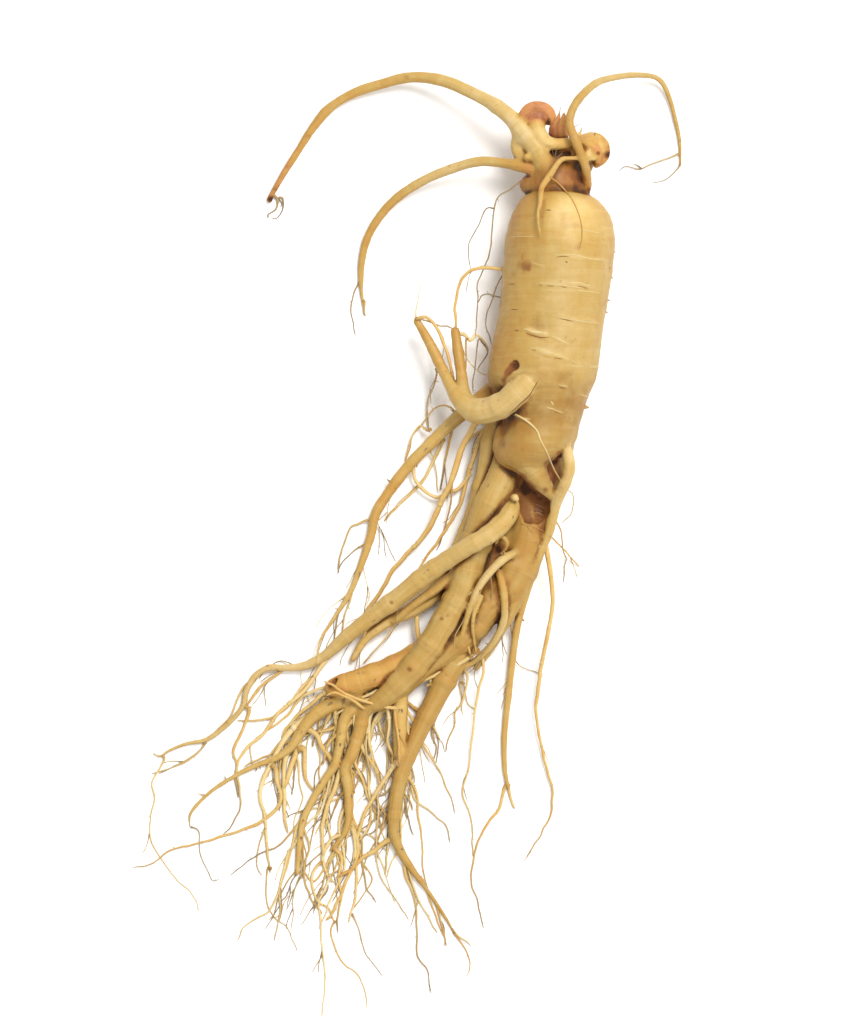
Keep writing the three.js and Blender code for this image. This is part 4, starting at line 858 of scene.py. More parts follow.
# rootlets: height each comes down to, radius at base and tip, then points in plan from near its parent on
rootlets = {
    "neck_rootlets": [
        (10, 0.32, 0.22, [(-8.4, 44.7), (-12, 42), (-16.2, 38.4), (-17.7, 25.5), (-19.5, 19.5),
         (-21.6, 14.1), (-21.9, 6), (-22.5, -1.8)]),
        (9, 0.26, 0.2, [(-19.2, 36.3), (-21.3, 31.5), (-24.6, 25.2), (-23.4, 18.6)]),
        (0.4, 0.4, 0.18, [(-81.9, 40), (-82.5, 36.6), (-84.9, 35.2), (-84.3, 33.9)]),
        (0.4, 0.34, 0.16, [(-80.4, 40.4), (-80.6, 36.6), (-82.2, 34), (-83.6, 34.4)]),
        (0.4, 0.3, 0.14, [(-81.6, 39.9), (-80.6, 38.4), (-81.6, 37.4)]),
        (0.6, 0.5, 0.25, [(-55.8, 9), (-56.2, 5.1), (-55.9, 4.4)]),
        (0.4, 0.34, 0.18, [(-57.3, 14.6), (-58.8, 12), (-59.7, 7.4), (-59.1, 2.4), (-58.5, -1.5)]),
        (0.4, 0.3, 0.16, [(-56.6, 16), (-57.8, 15), (-58.3, 13.4)]),
        (0.5, 0.36, 0.16, [(38.7, 53.4), (36, 52.2), (31.5, 50.7), (27.9, 48.9), (25, 49.4), (22.5, 49.5),
         (20.7, 48)]),
        (0.5, 0.34, 0.14, [(39.6, 50.2), (37.2, 47.4), (34, 45.4), (30.6, 44.7)]),
        (0.5, 0.26, 0.12, [(27.9, 48.9), (27, 50), (25.2, 50.4)]),
        (20.4, 0.8, 0.12, [(8.2, 57.6), (8.8, 58.8), (9, 60)]),
        (20, 0.4, 0.12, [(12.4, 57.2), (13, 58.2), (13.2, 58.8)]),
        (17, 0.26, 0.1, [(6.6, 58.6), (7, 60.6), (8.4, 61.8)]),
        (15, 0.3, 0.1, [(2.4, 63.4), (2.9, 65.2), (3.3, 66.8)]),
        (21.4, 0.28, 0.12, [(-0.2, 51), (0.4, 52.6), (0.2, 53.6)]),
        (21.4, 0.28, 0.12, [(1, 50.6), (1.3, 52.4), (1.6, 54)]),
        (21.4, 0.28, 0.12, [(1.6, 50.6), (2.4, 51.8), (3.2, 52.6)]),
    ],
    "side_rootlets": [
        (10.6, 0.6, 0.42, [(-8, 17.6), (-14.1, 17.9), (-17.3, 18.5), (-22.4, 18.4), (-25.4, 16.5),
         (-27.6, 12.8), (-28.4, 6.2), (-28.2, -0.6)]),
        (10, 0.28, 0.22, [(-8, 9.6), (-15.3, 9.9), (-18.4, 11), (-20.8, 10.4), (-21.7, 8.6)]),
        (11, 0.3, 0.18, [(-40, 2.4), (-40.2, 6), (-39.3, 9.6), (-38.2, 15)]),
        (12.5, 0.5, 0.45, [(-40, 3.2), (-37.5, 4), (-34.5, 1.5), (-31.6, -4.5), (-29.6, -11.4),
         (-28.6, -18)]),
        (5, 0.36, 0.2, [(-38, 1), (-36, -1.8), (-34.2, -6), (-34, -10.5), (-34.8, -16.5), (-36.6, -21),
         (-36.6, -27), (-35.4, -31)]),
        (11.5, 0.3, 0.25, [(-39.6, 3.4), (-36, 2.6), (-33, 1.2), (-30.9, 1.2), (-28.6, 0)]),
        (9, 0.7, 0.3, [(-28.4, -1), (-25.5, -1.5), (-24, -3.4), (-22.5, -1.5), (-21, -2.1), (-18.6, -6)]),
        (9, 0.3, 0.2, [(-8, 18.6), (-14.1, 16.4), (-17.2, 9.6), (-18.9, 5.6), (-19.1, 1.6), (-17.7, -4.3)]),
        (8, 0.3, 0.2, [(-27, -3), (-26, -6.6), (-24, -9.6), (-21.6, -12), (-18.9, -13.5)]),
        (8, 0.28, 0.2, [(-20.6, -3.4), (-18.6, -6.4), (-20.4, -9.6), (-21.6, -12), (-19.2, -13.2)]),
        (12, 0.3, 0.25, [(-25.2, -3), (-25.2, -9), (-25.2, -15), (-25.4, -19.5)]),
        (10, 0.28, 0.22, [(-21.6, -3), (-22.5, -12), (-23.1, -19.5)]),
        (12, 0.6, 0.3, [(-37.6, -1), (-35.4, -3.6), (-33.4, -10), (-33.9, -14)]),
        (1, 0.42, 0.25, [(-37, -30), (-39, -28.5), (-41.4, -32.4), (-42.6, -36), (-43.2, -39.9)]),
        (2.5, 0.55, 0.6, [(-41, -41), (-40.6, -44.4), (-38.4, -47.4), (-34.2, -50.1), (-30.9, -48.9),
         (-27, -47.1), (-23.4, -43)]),
        (0.5, 0.32, 0.16, [(-32.1, -33), (-33.9, -37.5), (-36.6, -42.6), (-39.6, -46.5), (-43.5, -49.8),
         (-50.4, -56.7)]),
        (0.6, 0.3, 0.2, [(-36, -36), (-34.2, -42), (-33.6, -48.6)]),
        (0.4, 0.4, 0.18, [(-54, -63.6), (-57.6, -65.4), (-60, -67.5), (-62.4, -69.9), (-64.2, -73.5)]),
        (0.6, 0.42, 0.24, [(-59.4, -77.4), (-60, -81), (-62.1, -87), (-62.4, -96)]),
        (0.5, 0.36, 0.2, [(-63.6, -85), (-64.2, -88.4), (-65.4, -97.5)]),
        (0.5, 0.4, 0.3, [(-55, -57), (-58, -58.4), (-60.4, -60), (-63.4, -70), (-63.6, -73)]),
        (0.9, 1.15, 0.6, [(-21, -25), (-23.4, -29.6), (-26.4, -35.1), (-29.1, -43.5), (-32.7, -51.6),
         (-36, -59.1), (-41.1, -65.4), (-46.8, -72), (-51.9, -79.5), (-55.8, -86.1)]),
        (0.6, 0.95, 0.3, [(-19, -30), (-21, -33), (-23.7, -41), (-24.9, -45), (-27.6, -54), (-33, -62.4),
         (-36.6, -67.5), (-39.6, -72)]),
        (1.4, 0.6, 0.45, [(-20.1, -30), (-24, -32), (-26.1, -35.1)]),
        (0.5, 0.6, 0.28, [(-32.1, -33), (-35.1, -39.6), (-37.5, -44.4), (-39.9, -47.4), (-46.5, -53.4),
         (-50.4, -57)]),
        (0.5, 0.5, 0.3, [(-29.1, -28.5), (-30.3, -34.5), (-31.5, -40.5), (-33, -48)]),
        (0.7, 0.32, 0.24, [(-33.9, -12), (-34.8, -16.5), (-36.9, -21), (-36.9, -25.5), (-36, -30)]),
        (0.7, 0.34, 0.22, [(-29.4, -23.4), (-32.1, -22.5), (-34.5, -23.4), (-36.6, -25.5), (-39, -29.1),
         (-41.1, -32.1), (-42, -36), (-43.2, -39.6)]),
        (0.7, 0.45, 0.25, [(-29.1, -28.5), (-30.3, -34.5), (-31.5, -40.5), (-33, -48)]),
        (0.7, 0.4, 0.2, [(-29.4, -45), (-29.7, -51), (-30.9, -57), (-32.1, -61.5), (-33.9, -66)]),
        (4, 0.85, 0.75, [(-39.6, -82.4), (-39.9, -87.6), (-39.3, -95)]),
        (3, 0.4, 0.3, [(-47, -89), (-49.5, -93), (-53.4, -97.5), (-56.4, -101)]),
        (3, 0.5, 0.4, [(-55, -89), (-56.1, -93), (-57.6, -98)]),
    ],
    "leg_rootlets": [
        (0.4, 0.32, 0.16, [(4.4, -47.6), (6.6, -49.4), (7, -52.4), (6.3, -55), (3.6, -57.4)]),
        (0.4, 0.34, 0.18, [(1.4, -57), (3.4, -60.4), (4.2, -66.6), (5, -68.6), (4.4, -71.4), (4.5, -75.9)]),
        (0.5, 0.3, 0.24, [(0.6, -62.4), (4.5, -66), (6.9, -69), (9, -71.4)]),
        (0.4, 0.85, 0.22, [(-1.8, -62), (-0.8, -67), (0.2, -73), (0.9, -80), (0.4, -87), (-1, -93.6),
         (-2.4, -100), (-3.2, -106), (-3.8, -113), (-3.4, -120), (-2.2, -125.4), (-0.8, -131),
         (0.6, -137.4), (0.9, -141.6), (0.2, -146.4), (-2.6, -152.4), (-6, -157), (-7.8, -159.6)]),
        (0.4, 0.32, 0.16, [(-12.4, -87), (-11.5, -90), (-10.8, -96), (-9.6, -100.5), (-5.1, -102.6),
         (-2.1, -104.4)]),
        (0.4, 0.5, 0.2, [(-13.4, -137.4), (-15, -144), (-18, -147.6), (-21.6, -154.5), (-23.1, -160.5),
         (-23.6, -167.4), (-22, -171), (-20.8, -175), (-19.8, -180.6)]),
        (0.6, 0.6, 0.35, [(-12.6, -137), (-11.2, -141.4), (-10.2, -144.3)]),
        (0.4, 0.5, 0.22, [(-20.4, -97), (-19.8, -102.6), (-21.3, -108), (-22.5, -115.5), (-23.2, -123),
         (-24, -129), (-25.8, -137.4), (-25.8, -141), (-24, -146), (-23.5, -153), (-23.4, -159)]),
        (0.4, 0.42, 0.2, [(-24.6, -105), (-26.4, -112.5), (-28.2, -115), (-28.8, -119.4), (-30.9, -123.6),
         (-31.4, -127)]),
        (0.4, 0.4, 0.22, [(-31.6, -108), (-33.4, -114.6), (-35.4, -121.5), (-34.2, -125.4),
         (-34.8, -129.6)]),
        (0.4, 0.34, 0.2, [(-33, -112), (-34.6, -118), (-33.6, -124), (-34, -131)]),
        (0.4, 0.3, 0.2, [(-26, -103), (-25.4, -109), (-24.6, -112.6), (-22, -114.4)]),
        (0.4, 0.34, 0.2, [(-27, -106), (-26.4, -111), (-25.8, -116.4)]),
        (9, 0.7, 0.4, [(-22, -84), (-25.4, -88), (-25.6, -92), (-24.4, -97.6)]),
        (8, 0.6, 0.3, [(-25, -88.6), (-28, -91), (-29.4, -96), (-33, -99.6)]),
        (5, 0.7, 0.45, [(-22, -96.6), (-27.6, -100.4), (-34, -103.4), (-42, -107.6), (-47, -112)]),
        (5.4, 0.55, 0.35, [(-24, -97.6), (-30, -99.6), (-36.6, -103.6), (-41.4, -106)]),
        (6, 0.5, 0.3, [(-46, -100), (-43, -104), (-40, -104.6), (-36, -101.6)]),
        (0.5, 0.9, 0.5, [(-36, -117), (-40.4, -114), (-44, -112)]),
        (10, 0.5, 0.4, [(-56, -113.6), (-60, -110.4), (-64.6, -109), (-67, -110)]),
        (9, 0.55, 0.4, [(-46, -113.6), (-50, -113), (-55.6, -111.4), (-62, -108.6), (-68, -105.6)]),
        (7, 0.5, 0.4, [(-46.6, -111), (-46.4, -117), (-45.6, -122), (-45.4, -130)]),
    ],
    "beard": [
        (0.4, 0.36, 0.2, [(-29.4, -180.4), (-27.4, -182.8), (-25.6, -184), (-23.9, -185.5)]),
        (0.4, 0.34, 0.14, [(-28.9, -181.6), (-26, -185.6), (-24.2, -189.6), (-23.8, -193.4),
         (-24.9, -195.2)]),
        (0.4, 0.5, 0.2, [(-43.8, -160), (-43.2, -165), (-41.7, -168), (-40.2, -173.4), (-39.9, -180),
         (-39.3, -189), (-36.6, -193.5), (-36, -200)]),
        (0.4, 0.42, 0.25, [(-43, -161), (-41.4, -166.5), (-39, -172.5), (-36, -177.9), (-33.6, -182.1)]),
        (0.4, 0.4, 0.25, [(-34.2, -172.5), (-33, -177.6), (-32.1, -180.6), (-31.2, -186)]),
        (0.4, 0.35, 0.2, [(-38.4, -165), (-36, -172), (-33, -180), (-31.5, -184)]),
        (0.8, 0.95, 0.45, [(-46.8, -153), (-50.1, -154.4), (-52.5, -156.6), (-56.4, -159), (-60, -162.4),
         (-64.5, -165.4)]),
        (0.5, 0.45, 0.3, [(-48.6, -154), (-49, -158.4), (-49.4, -163.5)]),
        (0.6, 0.7, 0.4, [(-61.8, -152), (-65.4, -153), (-68.4, -158.4), (-67.5, -162.6), (-65.4, -166.5)]),
        (0.4, 0.6, 0.25, [(-62.6, -159), (-63.6, -165), (-62.7, -171), (-63.6, -177), (-64.2, -181.5)]),
        (0.5, 0.65, 0.3, [(-59.4, -150), (-58.5, -156), (-58.2, -165), (-58.2, -171), (-60.3, -178.5)]),
        (0.3, 0.35, 0.14, [(-59.4, -176), (-57.6, -180), (-56.4, -184.5), (-54.6, -189), (-50.1, -194.4)]),
        (0.4, 0.5, 0.3, [(-69, -160.4), (-71.4, -163.5), (-71.4, -168), (-69.6, -172.5), (-66.6, -174.6),
         (-64.5, -178.5)]),
        (0.4, 0.5, 0.18, [(-66, -164), (-67.5, -168), (-69.6, -172.5), (-69, -178.5), (-68.7, -186),
         (-67.8, -193.5), (-68.4, -201), (-68.7, -207.6)]),
        (0.3, 0.35, 0.16, [(-64.6, -178), (-66, -181.5), (-63.6, -188.4), (-61.5, -191.4), (-57.6, -194.4),
         (-55.8, -198.6), (-55.2, -204)]),
        (0.5, 0.4, 0.28, [(-74.6, -149), (-73.4, -152), (-72.4, -156), (-74.1, -162.6), (-72, -171),
         (-69, -176.4)]),
        (0.9, 0.8, 0.5, [(-62.6, -131), (-64.8, -138), (-67.5, -145.5), (-68.4, -153), (-68.4, -159)]),
        (0.8, 0.8, 0.45, [(-46.4, -130), (-49.6, -135), (-53.4, -141), (-56.4, -147), (-57.6, -153),
         (-59.4, -159.6)]),
        (0.4, 0.4, 0.18, [(-52, -138), (-51.6, -144), (-52.2, -153), (-51.6, -162), (-49.2, -168),
         (-45.6, -172.5), (-42.6, -177.6)]),
        (0.5, 0.35, 0.2, [(-57.4, -156), (-56.6, -160), (-53.4, -165), (-56.4, -171), (-59.1, -174.6)]),
        (0.4, 0.8, 0.2, [(-66, -97), (-69, -101.4), (-73.5, -108), (-78.6, -112.5), (-82.5, -116.4),
         (-86.4, -121.5), (-91.5, -126), (-94.2, -132), (-93.6, -138), (-93, -143.4), (-95.4, -148.5),
         (-98.4, -152.1)]),
        (0.6, 0.6, 0.25, [(-71, -104), (-75, -108), (-79.5, -114), (-84, -117), (-90, -117.9),
         (-94.5, -117.6)]),
        (0.4, 1.1, 0.3, [(-73, -116.6), (-76.6, -119.4), (-80.1, -123.4), (-83.4, -129.6), (-86.4, -135.6),
         (-87.4, -141), (-86.1, -146.4), (-85.2, -153), (-84.6, -159.6), (-84, -163.5)]),
        (0.4, 0.8, 0.18, [(-82.5, -132), (-82.2, -136), (-81, -140.1), (-82.2, -144), (-87.6, -148.5),
         (-91.5, -150), (-96, -151.8), (-106.5, -154.5), (-114, -156.6), (-120, -160.5), (-125.7, -162)]),
        (0.6, 0.9, 0.45, [(-78.6, -126), (-79.8, -130.5), (-80.1, -138), (-79.8, -145.5), (-78.9, -151.5)]),
        (0.8, 1.1, 0.7, [(-74.6, -120), (-76.4, -127.4), (-78.9, -135), (-81, -139)]),
        (0.8, 0.95, 0.4, [(-74, -126), (-73.8, -130.5), (-73.5, -135.6), (-71.4, -138.6)]),
        (1.8, 0.85, 0.7, [(-70, -122), (-68.4, -126), (-65.2, -131)]),
        (0.4, 0.35, 0.2, [(-85.8, -150), (-87.6, -156), (-87.9, -161.4), (-86.7, -164.4)]),
        (0.3, 0.32, 0.14, [(-85, -162), (-85.5, -169.5), (-84.9, -174), (-82.5, -177.6), (-78.9, -180.6),
         (-75.9, -187.5)]),
        (0.3, 0.35, 0.16, [(-104, -125), (-106.5, -127.5), (-110.4, -129.9), (-114.6, -132),
         (-117.6, -133.5)]),
        (0.3, 0.35, 0.14, [(-116, -129), (-117.9, -132.6), (-120, -136.5), (-119.1, -141), (-120.3, -147),
         (-120, -154.5), (-112.5, -165), (-107, -171.5), (-105.6, -175.5)]),
        (0.5, 0.6, 0.28, [(-90.4, -114), (-91.8, -118.5), (-95.4, -126.6), (-94.2, -130.5), (-94.8, -135.6),
         (-93.6, -141)]),
        (0.3, 0.22, 0.12, [(-105.6, -151), (-105.6, -157.5), (-103, -163), (-101.4, -166.2),
         (-99.4, -165)]),
        (1.2, 0.5, 0.4, [(-80, -102), (-84, -105), (-87.6, -108), (-91, -113.4)]),
        (0.4, 0.4, 0.25, [(-92, -107), (-94.6, -112), (-97, -117), (-103, -122.4), (-108.6, -124.4)]),
        (0.4, 0.4, 0.2, [(-103.8, -124.2), (-106.2, -127.6), (-112, -131), (-120, -133.6)]),
        (0.5, 0.7, 0.4, [(-59.4, -149), (-57.6, -157), (-60.4, -164), (-63.2, -171), (-65.4, -176),
         (-67.6, -178)]),
        (0.4, 0.5, 0.25, [(-63, -153), (-66.6, -160), (-71, -166), (-74, -163)]),
    ],
}

# free growth between the listed ones: parents, how many, length, base radius, turn from the parent in
# degrees, part of the parent that it leaves from, seed
sprouts = {
    "side_rootlets": [
        (["sideRootOuter"], 7, (8, 20), (0.15, 0.24), (14, 34), (0.3, 0.9), 3),
        (["side_rootlets"], 12, (6, 16), (0.12, 0.2), (10, 30), (0.2, 0.8), 5),
        (["legRear"], 7, (10, 24), (0.2, 0.36), (10, 26), (0.3, 0.95), 8),
    ],
    "leg_rootlets": [
        (["sideRootLooped"], 4, (4, 8), (0.12, 0.2), (16, 40), (0.5, 0.9), 21),
        (["leg_rootlets"], 8, (4, 10), (0.1, 0.18), (12, 36), (0.3, 0.9), 23),
        (["hipRoot", "saddleRoot", "legRightTail"], 12, (8, 18), (0.2, 0.34), (10, 30), (0.3, 0.95), 29),
        (["legLower"], 7, (10, 24), (0.2, 0.34), (8, 26), (0.15, 0.7), 31),
        (["legBroken", "legLeft"], 6, (8, 16), (0.2, 0.36), (10, 40), (0.6, 0.98), 37),
        (["sideRootLong"], 8, (8, 20), (0.16, 0.28), (10, 30), (0.3, 0.7), 41),
    ],
    "beard": [
        (["legBroken"], 12, (26, 56), (0.5, 0.8), (4, 40), (0.45, 0.98), 57),
        (["legRight", "legLeft"], 12, (28, 52), (0.45, 0.75), (4, 24), (0.86, 0.99), 58),
        (["legLeft", "legRight", "legBroken"], 14, (18, 34), (0.7, 1), (6, 28), (0.8, 0.98), 71),
        (["beardCentre", "beardInner"], 26, (24, 44), (0.34, 0.6), (5, 22), (0.05, 0.8), 51),
        (["beardOuter"], 12, (16, 34), (0.3, 0.5), (8, 34), (0.05, 0.45), 53),
        (["beardBridge"], 18, (26, 46), (0.34, 0.6), (5, 22), (0.1, 0.9), 54),
        (["beard"], 46, (10, 24), (0.16, 0.3), (8, 26), (0.1, 0.8), 59),
        (["beard"], 50, (3, 8), (0.1, 0.16), (14, 50), (0.1, 0.9), 61),
    ],
}

# a sprout's step and bends; off is how far it may aim beside the tip end, pull how strongly it turns there
sproutSetup = {"step": 2.2, "bend": 0.1, "bendKept": 0.3, "kinkShare": 0.1, "kink": (0.25, 0.5),
               "off": (-0.25, 0.45), "pull": 0.16, "sink": (0.1, 0.8), "thinning": 0.62}

# hairs that lie on the skin: radius at base and tip, then points in plan
brownHairs = [
    (0.26, 0.14, [(-0.4, 44.9), (1.6, 43.6), (3.7, 41.6), (5.8, 38.8), (7.2, 36), (8.3, 33), (9, 29.6),
     (8.9, 26), (8, 22.8)]),
    (0.24, 0.16, [(-8.5, -58), (-5.9, -58.6), (-4, -59.4), (-2, -60.2)]),
    (0.2, 0.12, [(-6.9, -58.6), (-6, -60), (-4.9, -61.2)]),
    (0.2, 0.12, [(-4.6, -58.9), (-5.4, -60), (-5.6, -60.9)]),
]
paleHairs = [
    (0.36, 0.22, [(-10.6, -25.6), (-7.5, -27.4), (-5.2, -29.4), (-4.1, -30.9), (-3.2, -33.4), (-1.6, -36.3),
     (0.4, -40.6), (2.9, -45.2)]),
]
# crests of the rings on the main root, paler than the skin as a painted highlight: radius, then points in
# plan
ringCrests = [
    (0.2, [(0.4, 21.6), (4.3, 21.7), (7.8, 21.4), (10, 20.7), (13.1, 20.3), (18, 20)]),
    (0.15, [(-6.1, 19.4), (-3.9, 18.8), (-2.1, 18.1)]),
    (0.22, [(-4.7, 13.1), (-2.6, 13.4), (0, 12.9), (2.6, 12.6), (6, 12.1), (9.6, 11.8), (12.2, 12)]),
    (0.26, [(4.5, 13.3), (6.5, 13.2), (8, 13.3), (9.6, 12.8), (11.8, 12.4)]),
    (0.45, [(7.2, 13.3), (7.8, 13.3), (8.4, 13.1)]), (0.13, [(7.4, 11.1), (10.5, 10.8), (14.5, 10.5)]),
    (0.19, [(0, 3.8), (2.6, 3), (5.2, 2.5), (8.3, 2.1), (11.8, 1.6), (15.2, 1.2)]),
    (0.52, [(-8.2, -0.3), (-6.5, -0.9), (-3.9, -1.5), (-0.9, -2)]),
    (0.18, [(-1.1, -2.1), (2.1, -3.4), (5.2, -4.8)]),
    (0.32, [(-6.1, -6.2), (-4, -6.1), (-1.8, -6.9), (0.4, -7.8), (2.6, -8.4), (5.4, -9.4)]),
    (0.14, [(5.4, -9.4), (7.9, -10.7), (9.7, -11.3)]), (0.17, [(4.3, -10.9), (6.5, -11.2), (9.2, -11.5)]),
    (0.13, [(11.5, -11.5), (14.1, -11.6)]), (0.2, [(2.1, -16.9), (3.5, -17.2), (5, -17.4)]),
    (0.42, [(-0.2, -21.8), (0.2, -22.4), (0.6, -23)]), (0.2, [(-1.5, -23.5), (0.5, -24.1), (3.6, -25.2)]),
    (0.25, [(-11.2, -25.7), (-8.8, -26.5), (-6, -27.2)]), (0.12, [(-12, 27.4), (-8.6, 27.2), (-5.2, 27)]),
    (0.12, [(6, 28.9), (10, 28.7), (14.6, 28.2)]), (0.12, [(8, -19.6), (10, -20), (12, -20.4)]),
]
# dark dashes under the crests and in the creases
ringShadows = [
    (0.16, [(-1.6, 12.6), (-0.5, 12.3), (0.8, 12.3)]), (0.12, [(-3.7, 12.6), (-2.6, 12.4)]),
    (0.17, [(7.6, 12.5), (9.6, 11.9), (11.1, 11.8)]), (0.13, [(2.6, 12.2), (4.5, 11.8)]),
    (0.22, [(-7.6, -1.6), (-5.2, -2.4), (-3.1, -2.9), (-0.7, -2.9)]), (0.13, [(-2.6, 20.2), (-1.9, 20)]),
    (0.13, [(1, 20.5), (1.8, 20.4)]), (0.3, [(4, 19.4), (4.7, 19.35)]),
    (0.12, [(-11, -0.8), (-10.2, -0.6), (-9.5, -1.1)]), (0.12, [(-9.2, -1.2), (-8.6, -0.9)]),
    (0.12, [(-1.9, 35), (0, 34.8)]), (0.13, [(2.2, -17.6), (4.4, -17.9)]),
    (0.12, [(0.8, -8.8), (3.4, -9.3)]), (0.1, [(-6.1, -6.5), (-4.4, -6.7)]),
    (0.1, [(1.4, 21), (5.4, 21.1)]), (0.1, [(2.4, 2.6), (6.4, 1.9)]), (0.12, [(-12, 5.6), (-9.6, 5.4)]),
    (0.1, [(-12.6, 13.2), (-10.6, 13)]),
    (0.26, [(-4.1, -15.9), (-5.1, -17.5), (-6.4, -19.7), (-8.4, -21.7), (-10.3, -23.3), (-12.1, -24.9)]),
    (0.24, [(-13.6, -40.2), (-10.7, -41.8), (-8.6, -43.7), (-6.5, -46.4), (-4.4, -48.3), (-0.5, -51.4)]),
    (0.26, [(-8.5, -43.9), (-10.3, -46.8), (-12.4, -50), (-15, -53.8), (-18.4, -57.7), (-22.1, -60.2)]),
]
# layered lines on the floor of the torn pit
pitLines = [
    (0.26, [(-7.4, -52.4), (-5.8, -52), (-4.2, -52.2), (-1.8, -53.4)]),
    (0.2, [(-7.2, -53.8), (-4.8, -53.5), (-2, -54.5)]), (0.26, [(-6.1, -55.2), (-3.5, -54.9), (-2, -55.7)]),
    (0.2, [(-5.6, -56.6), (-3.8, -56.4), (-2.4, -57)]),
]
# small stubs on the right edge of the main root: x, y, length, radius, heading in degrees
edgeStubs = [
    (18.9, 26.3, 0.5, 0.35, -10), (18.8, 23.2, 0.8, 0.4, 0), (18.4, 15.8, 0.8, 0.45, -20),
    (17.4, 8.8, 0.6, 0.4, -10), (16.6, 5.3, 0.7, 0.45, 0), (15.6, 1.2, 0.5, 0.35, -15),
    (13.9, -11.4, 0.6, 0.4, -15), (10.4, -23.2, 1.2, 0.6, -10),
]
# stubs of broken side roots on the thick ones: whose, how many, length, seed
stubs = {
    "side_rootlets": [
        (["sideRootOuter", "legRear", "sideRootOuter"], 16, (0.4, 1.2), 71),
    ],
    "leg_rootlets": [
        (["sideRootLong", "legLeft", "legLower", "legRight", "sideRootLooped"], 34, (0.4, 1.1), 73),
        (["legRightTail", "hipRoot", "saddleRoot", "legBroken"], 14, (0.5, 1.4), 75),
    ],
    "beard": [
        (["beardOuter", "beardInner", "beardCentre", "beardBridge"], 40, (0.4, 1.4), 77),
    ],
}


def listedRootlet(grown, endHeight, base, tip, plan):
    # a rootlet from the grown point nearest to its plan's first
    start = grown[np.argmin(np.hypot(grown[:, 0] - plan[0][0], grown[:, 1] - plan[0][1]))]
    path = [(*start[:3], base)]
    for i, (x, y) in enumerate(plan, 1):
        share = i / len(plan)
        radius = base + (tip - base) * share
        height = endHeight + (start[2] - endHeight) * (1 - share) ** 2
        path.append((x, y, max(height, radius + 0.05), radius))
    return smoothPath(path, 1.4)


def sproutFrom(route, length, radius, turn, part, rng):
    # a loose rootlet that leaves a route, leans away from it, kinks here and there and ends on the surface
    setup = sproutSetup
    at = int((len(route) - 1) * rng.uniform(*part))
    ahead = route[min(at + 2, len(route) - 1)] - route[max(at - 2, 0)]
    heading = math.atan2(ahead[1], ahead[0]) + math.radians(turn) * rng.choice((-1, 1))
    down = -math.pi / 2 - rng.uniform(*setup["off"])
    x, y, z = route[at][:3]
    path, bend = [(x, y, z, radius)], 0
    count = max(3, int(length / setup["step"]))
    for i in range(count):
        bend = setup["bendKept"] * bend + rng.gauss(0, setup["bend"])
        if rng.random() < setup["kinkShare"]:
            bend += rng.choice((-1, 1)) * rng.uniform(*setup["kink"])
        pull = math.atan2(math.sin(down - heading), math.cos(down - heading))
        heading += bend + setup["pull"] * pull
        x, y = x + setup["step"] * math.cos(heading), y + setup["step"] * math.sin(heading)
        z = max(radius + 0.05, z - rng.uniform(*setup["sink"]))
        if not (boxLow[0] < x < boxHigh[0] and boxLow[1] < y < boxHigh[1]):
            break
        path.append((x, y, z, radius * (1 - setup["thinning"] * (i + 1) / count)))
    return smoothPath(path, 1.4) if len(path) > 2 else None


def skinHeight(x, y):
    # height of the skin over a point in plan, 0 beside the root
    hits = [tree.ray_cast(Vector((x * mm, y * mm, 0.1)), Vector((0, 0, -1)))[0] for tree in skinTrees]
    return max([hit.z / mm for hit in hits if hit is not None], default=0)


def drapedRootlet(base, tip, plan):
    # a hair that lies on the skin, taut over its dips
    last = len(plan) - 1
    route = smoothPath([(x, y, 0, base + (tip - base) * i / last) for i, (x, y) in enumerate(plan)], 0.8)
    for point in route:
        point[2] = skinHeight(point[0], point[1]) + 0.35 * point[3]
    for _ in range(8):
        route[1:-1, 2] = np.maximum(route[1:-1, 2], 0.5 * (route[:-2, 2] + route[2:, 2]))
    return route


def markRoute(radius, plan):
    # a line of relief on the skin, thin at both ends and uneven between
    route = smoothPath([(x, y, 0, radius) for x, y in plan], 0.5)
    share = lengthsAlong(route) / lengthsAlong(route)[-1]
    uneven = 1 + 0.3 * softNoise(np.c_[route[:, :2], route[:, 1] * 0], 1.6, radius)
    route[:, 1] += 0.14 * softNoise(np.c_[route[:, :2], route[:, 1] * 0], 1.2, 9 + radius)
    route[:, 3] *= (0.3 + 0.7 * np.sin(math.pi * share) ** 0.6) * uneven
    for point in route:
        point[2] = skinHeight(point[0], point[1]) - 0.6 * point[3]
    return route


def stubPath(places, radius, shares, spacing):
    return smoothPath([(*p, radius * k) for p, k in zip(places, shares)], spacing)


def surfaceStubs(names, count, length, seed):
    # short stubs of broken side roots that stand off the thick roots
    rng = random.Random(seed)
    made = []
    for _ in range(count):
        route = routes[rng.choice(names)]
        at = rng.randrange(2, int(0.85 * len(route)))
        here, ahead = route[at], (route[at + 1] - route[at - 1])[:3]
        side = np.array([-ahead[1], ahead[0], 0]) / max(np.hypot(ahead[0], ahead[1]), 1e-6)
        angle = rng.uniform(-0.3, math.pi + 0.3)
        out = math.cos(angle) * side + math.sin(angle) * np.array([0, 0, 1])
        lean = ahead / np.linalg.norm(ahead) * rng.uniform(0.2, 1)
        size = rng.uniform(*length)
        radius = min(0.26 * here[3], rng.uniform(0.16, 0.34))
        start = here[:3] + out * here[3] * 0.9
        places = [start + (out + lean) * size * share for share in (0, 0.5, 1)]
        if places[-1][2] > radius:
            made.append(stubPath(places, radius, (1, 0.85, 0.6), 0.6))
    return made


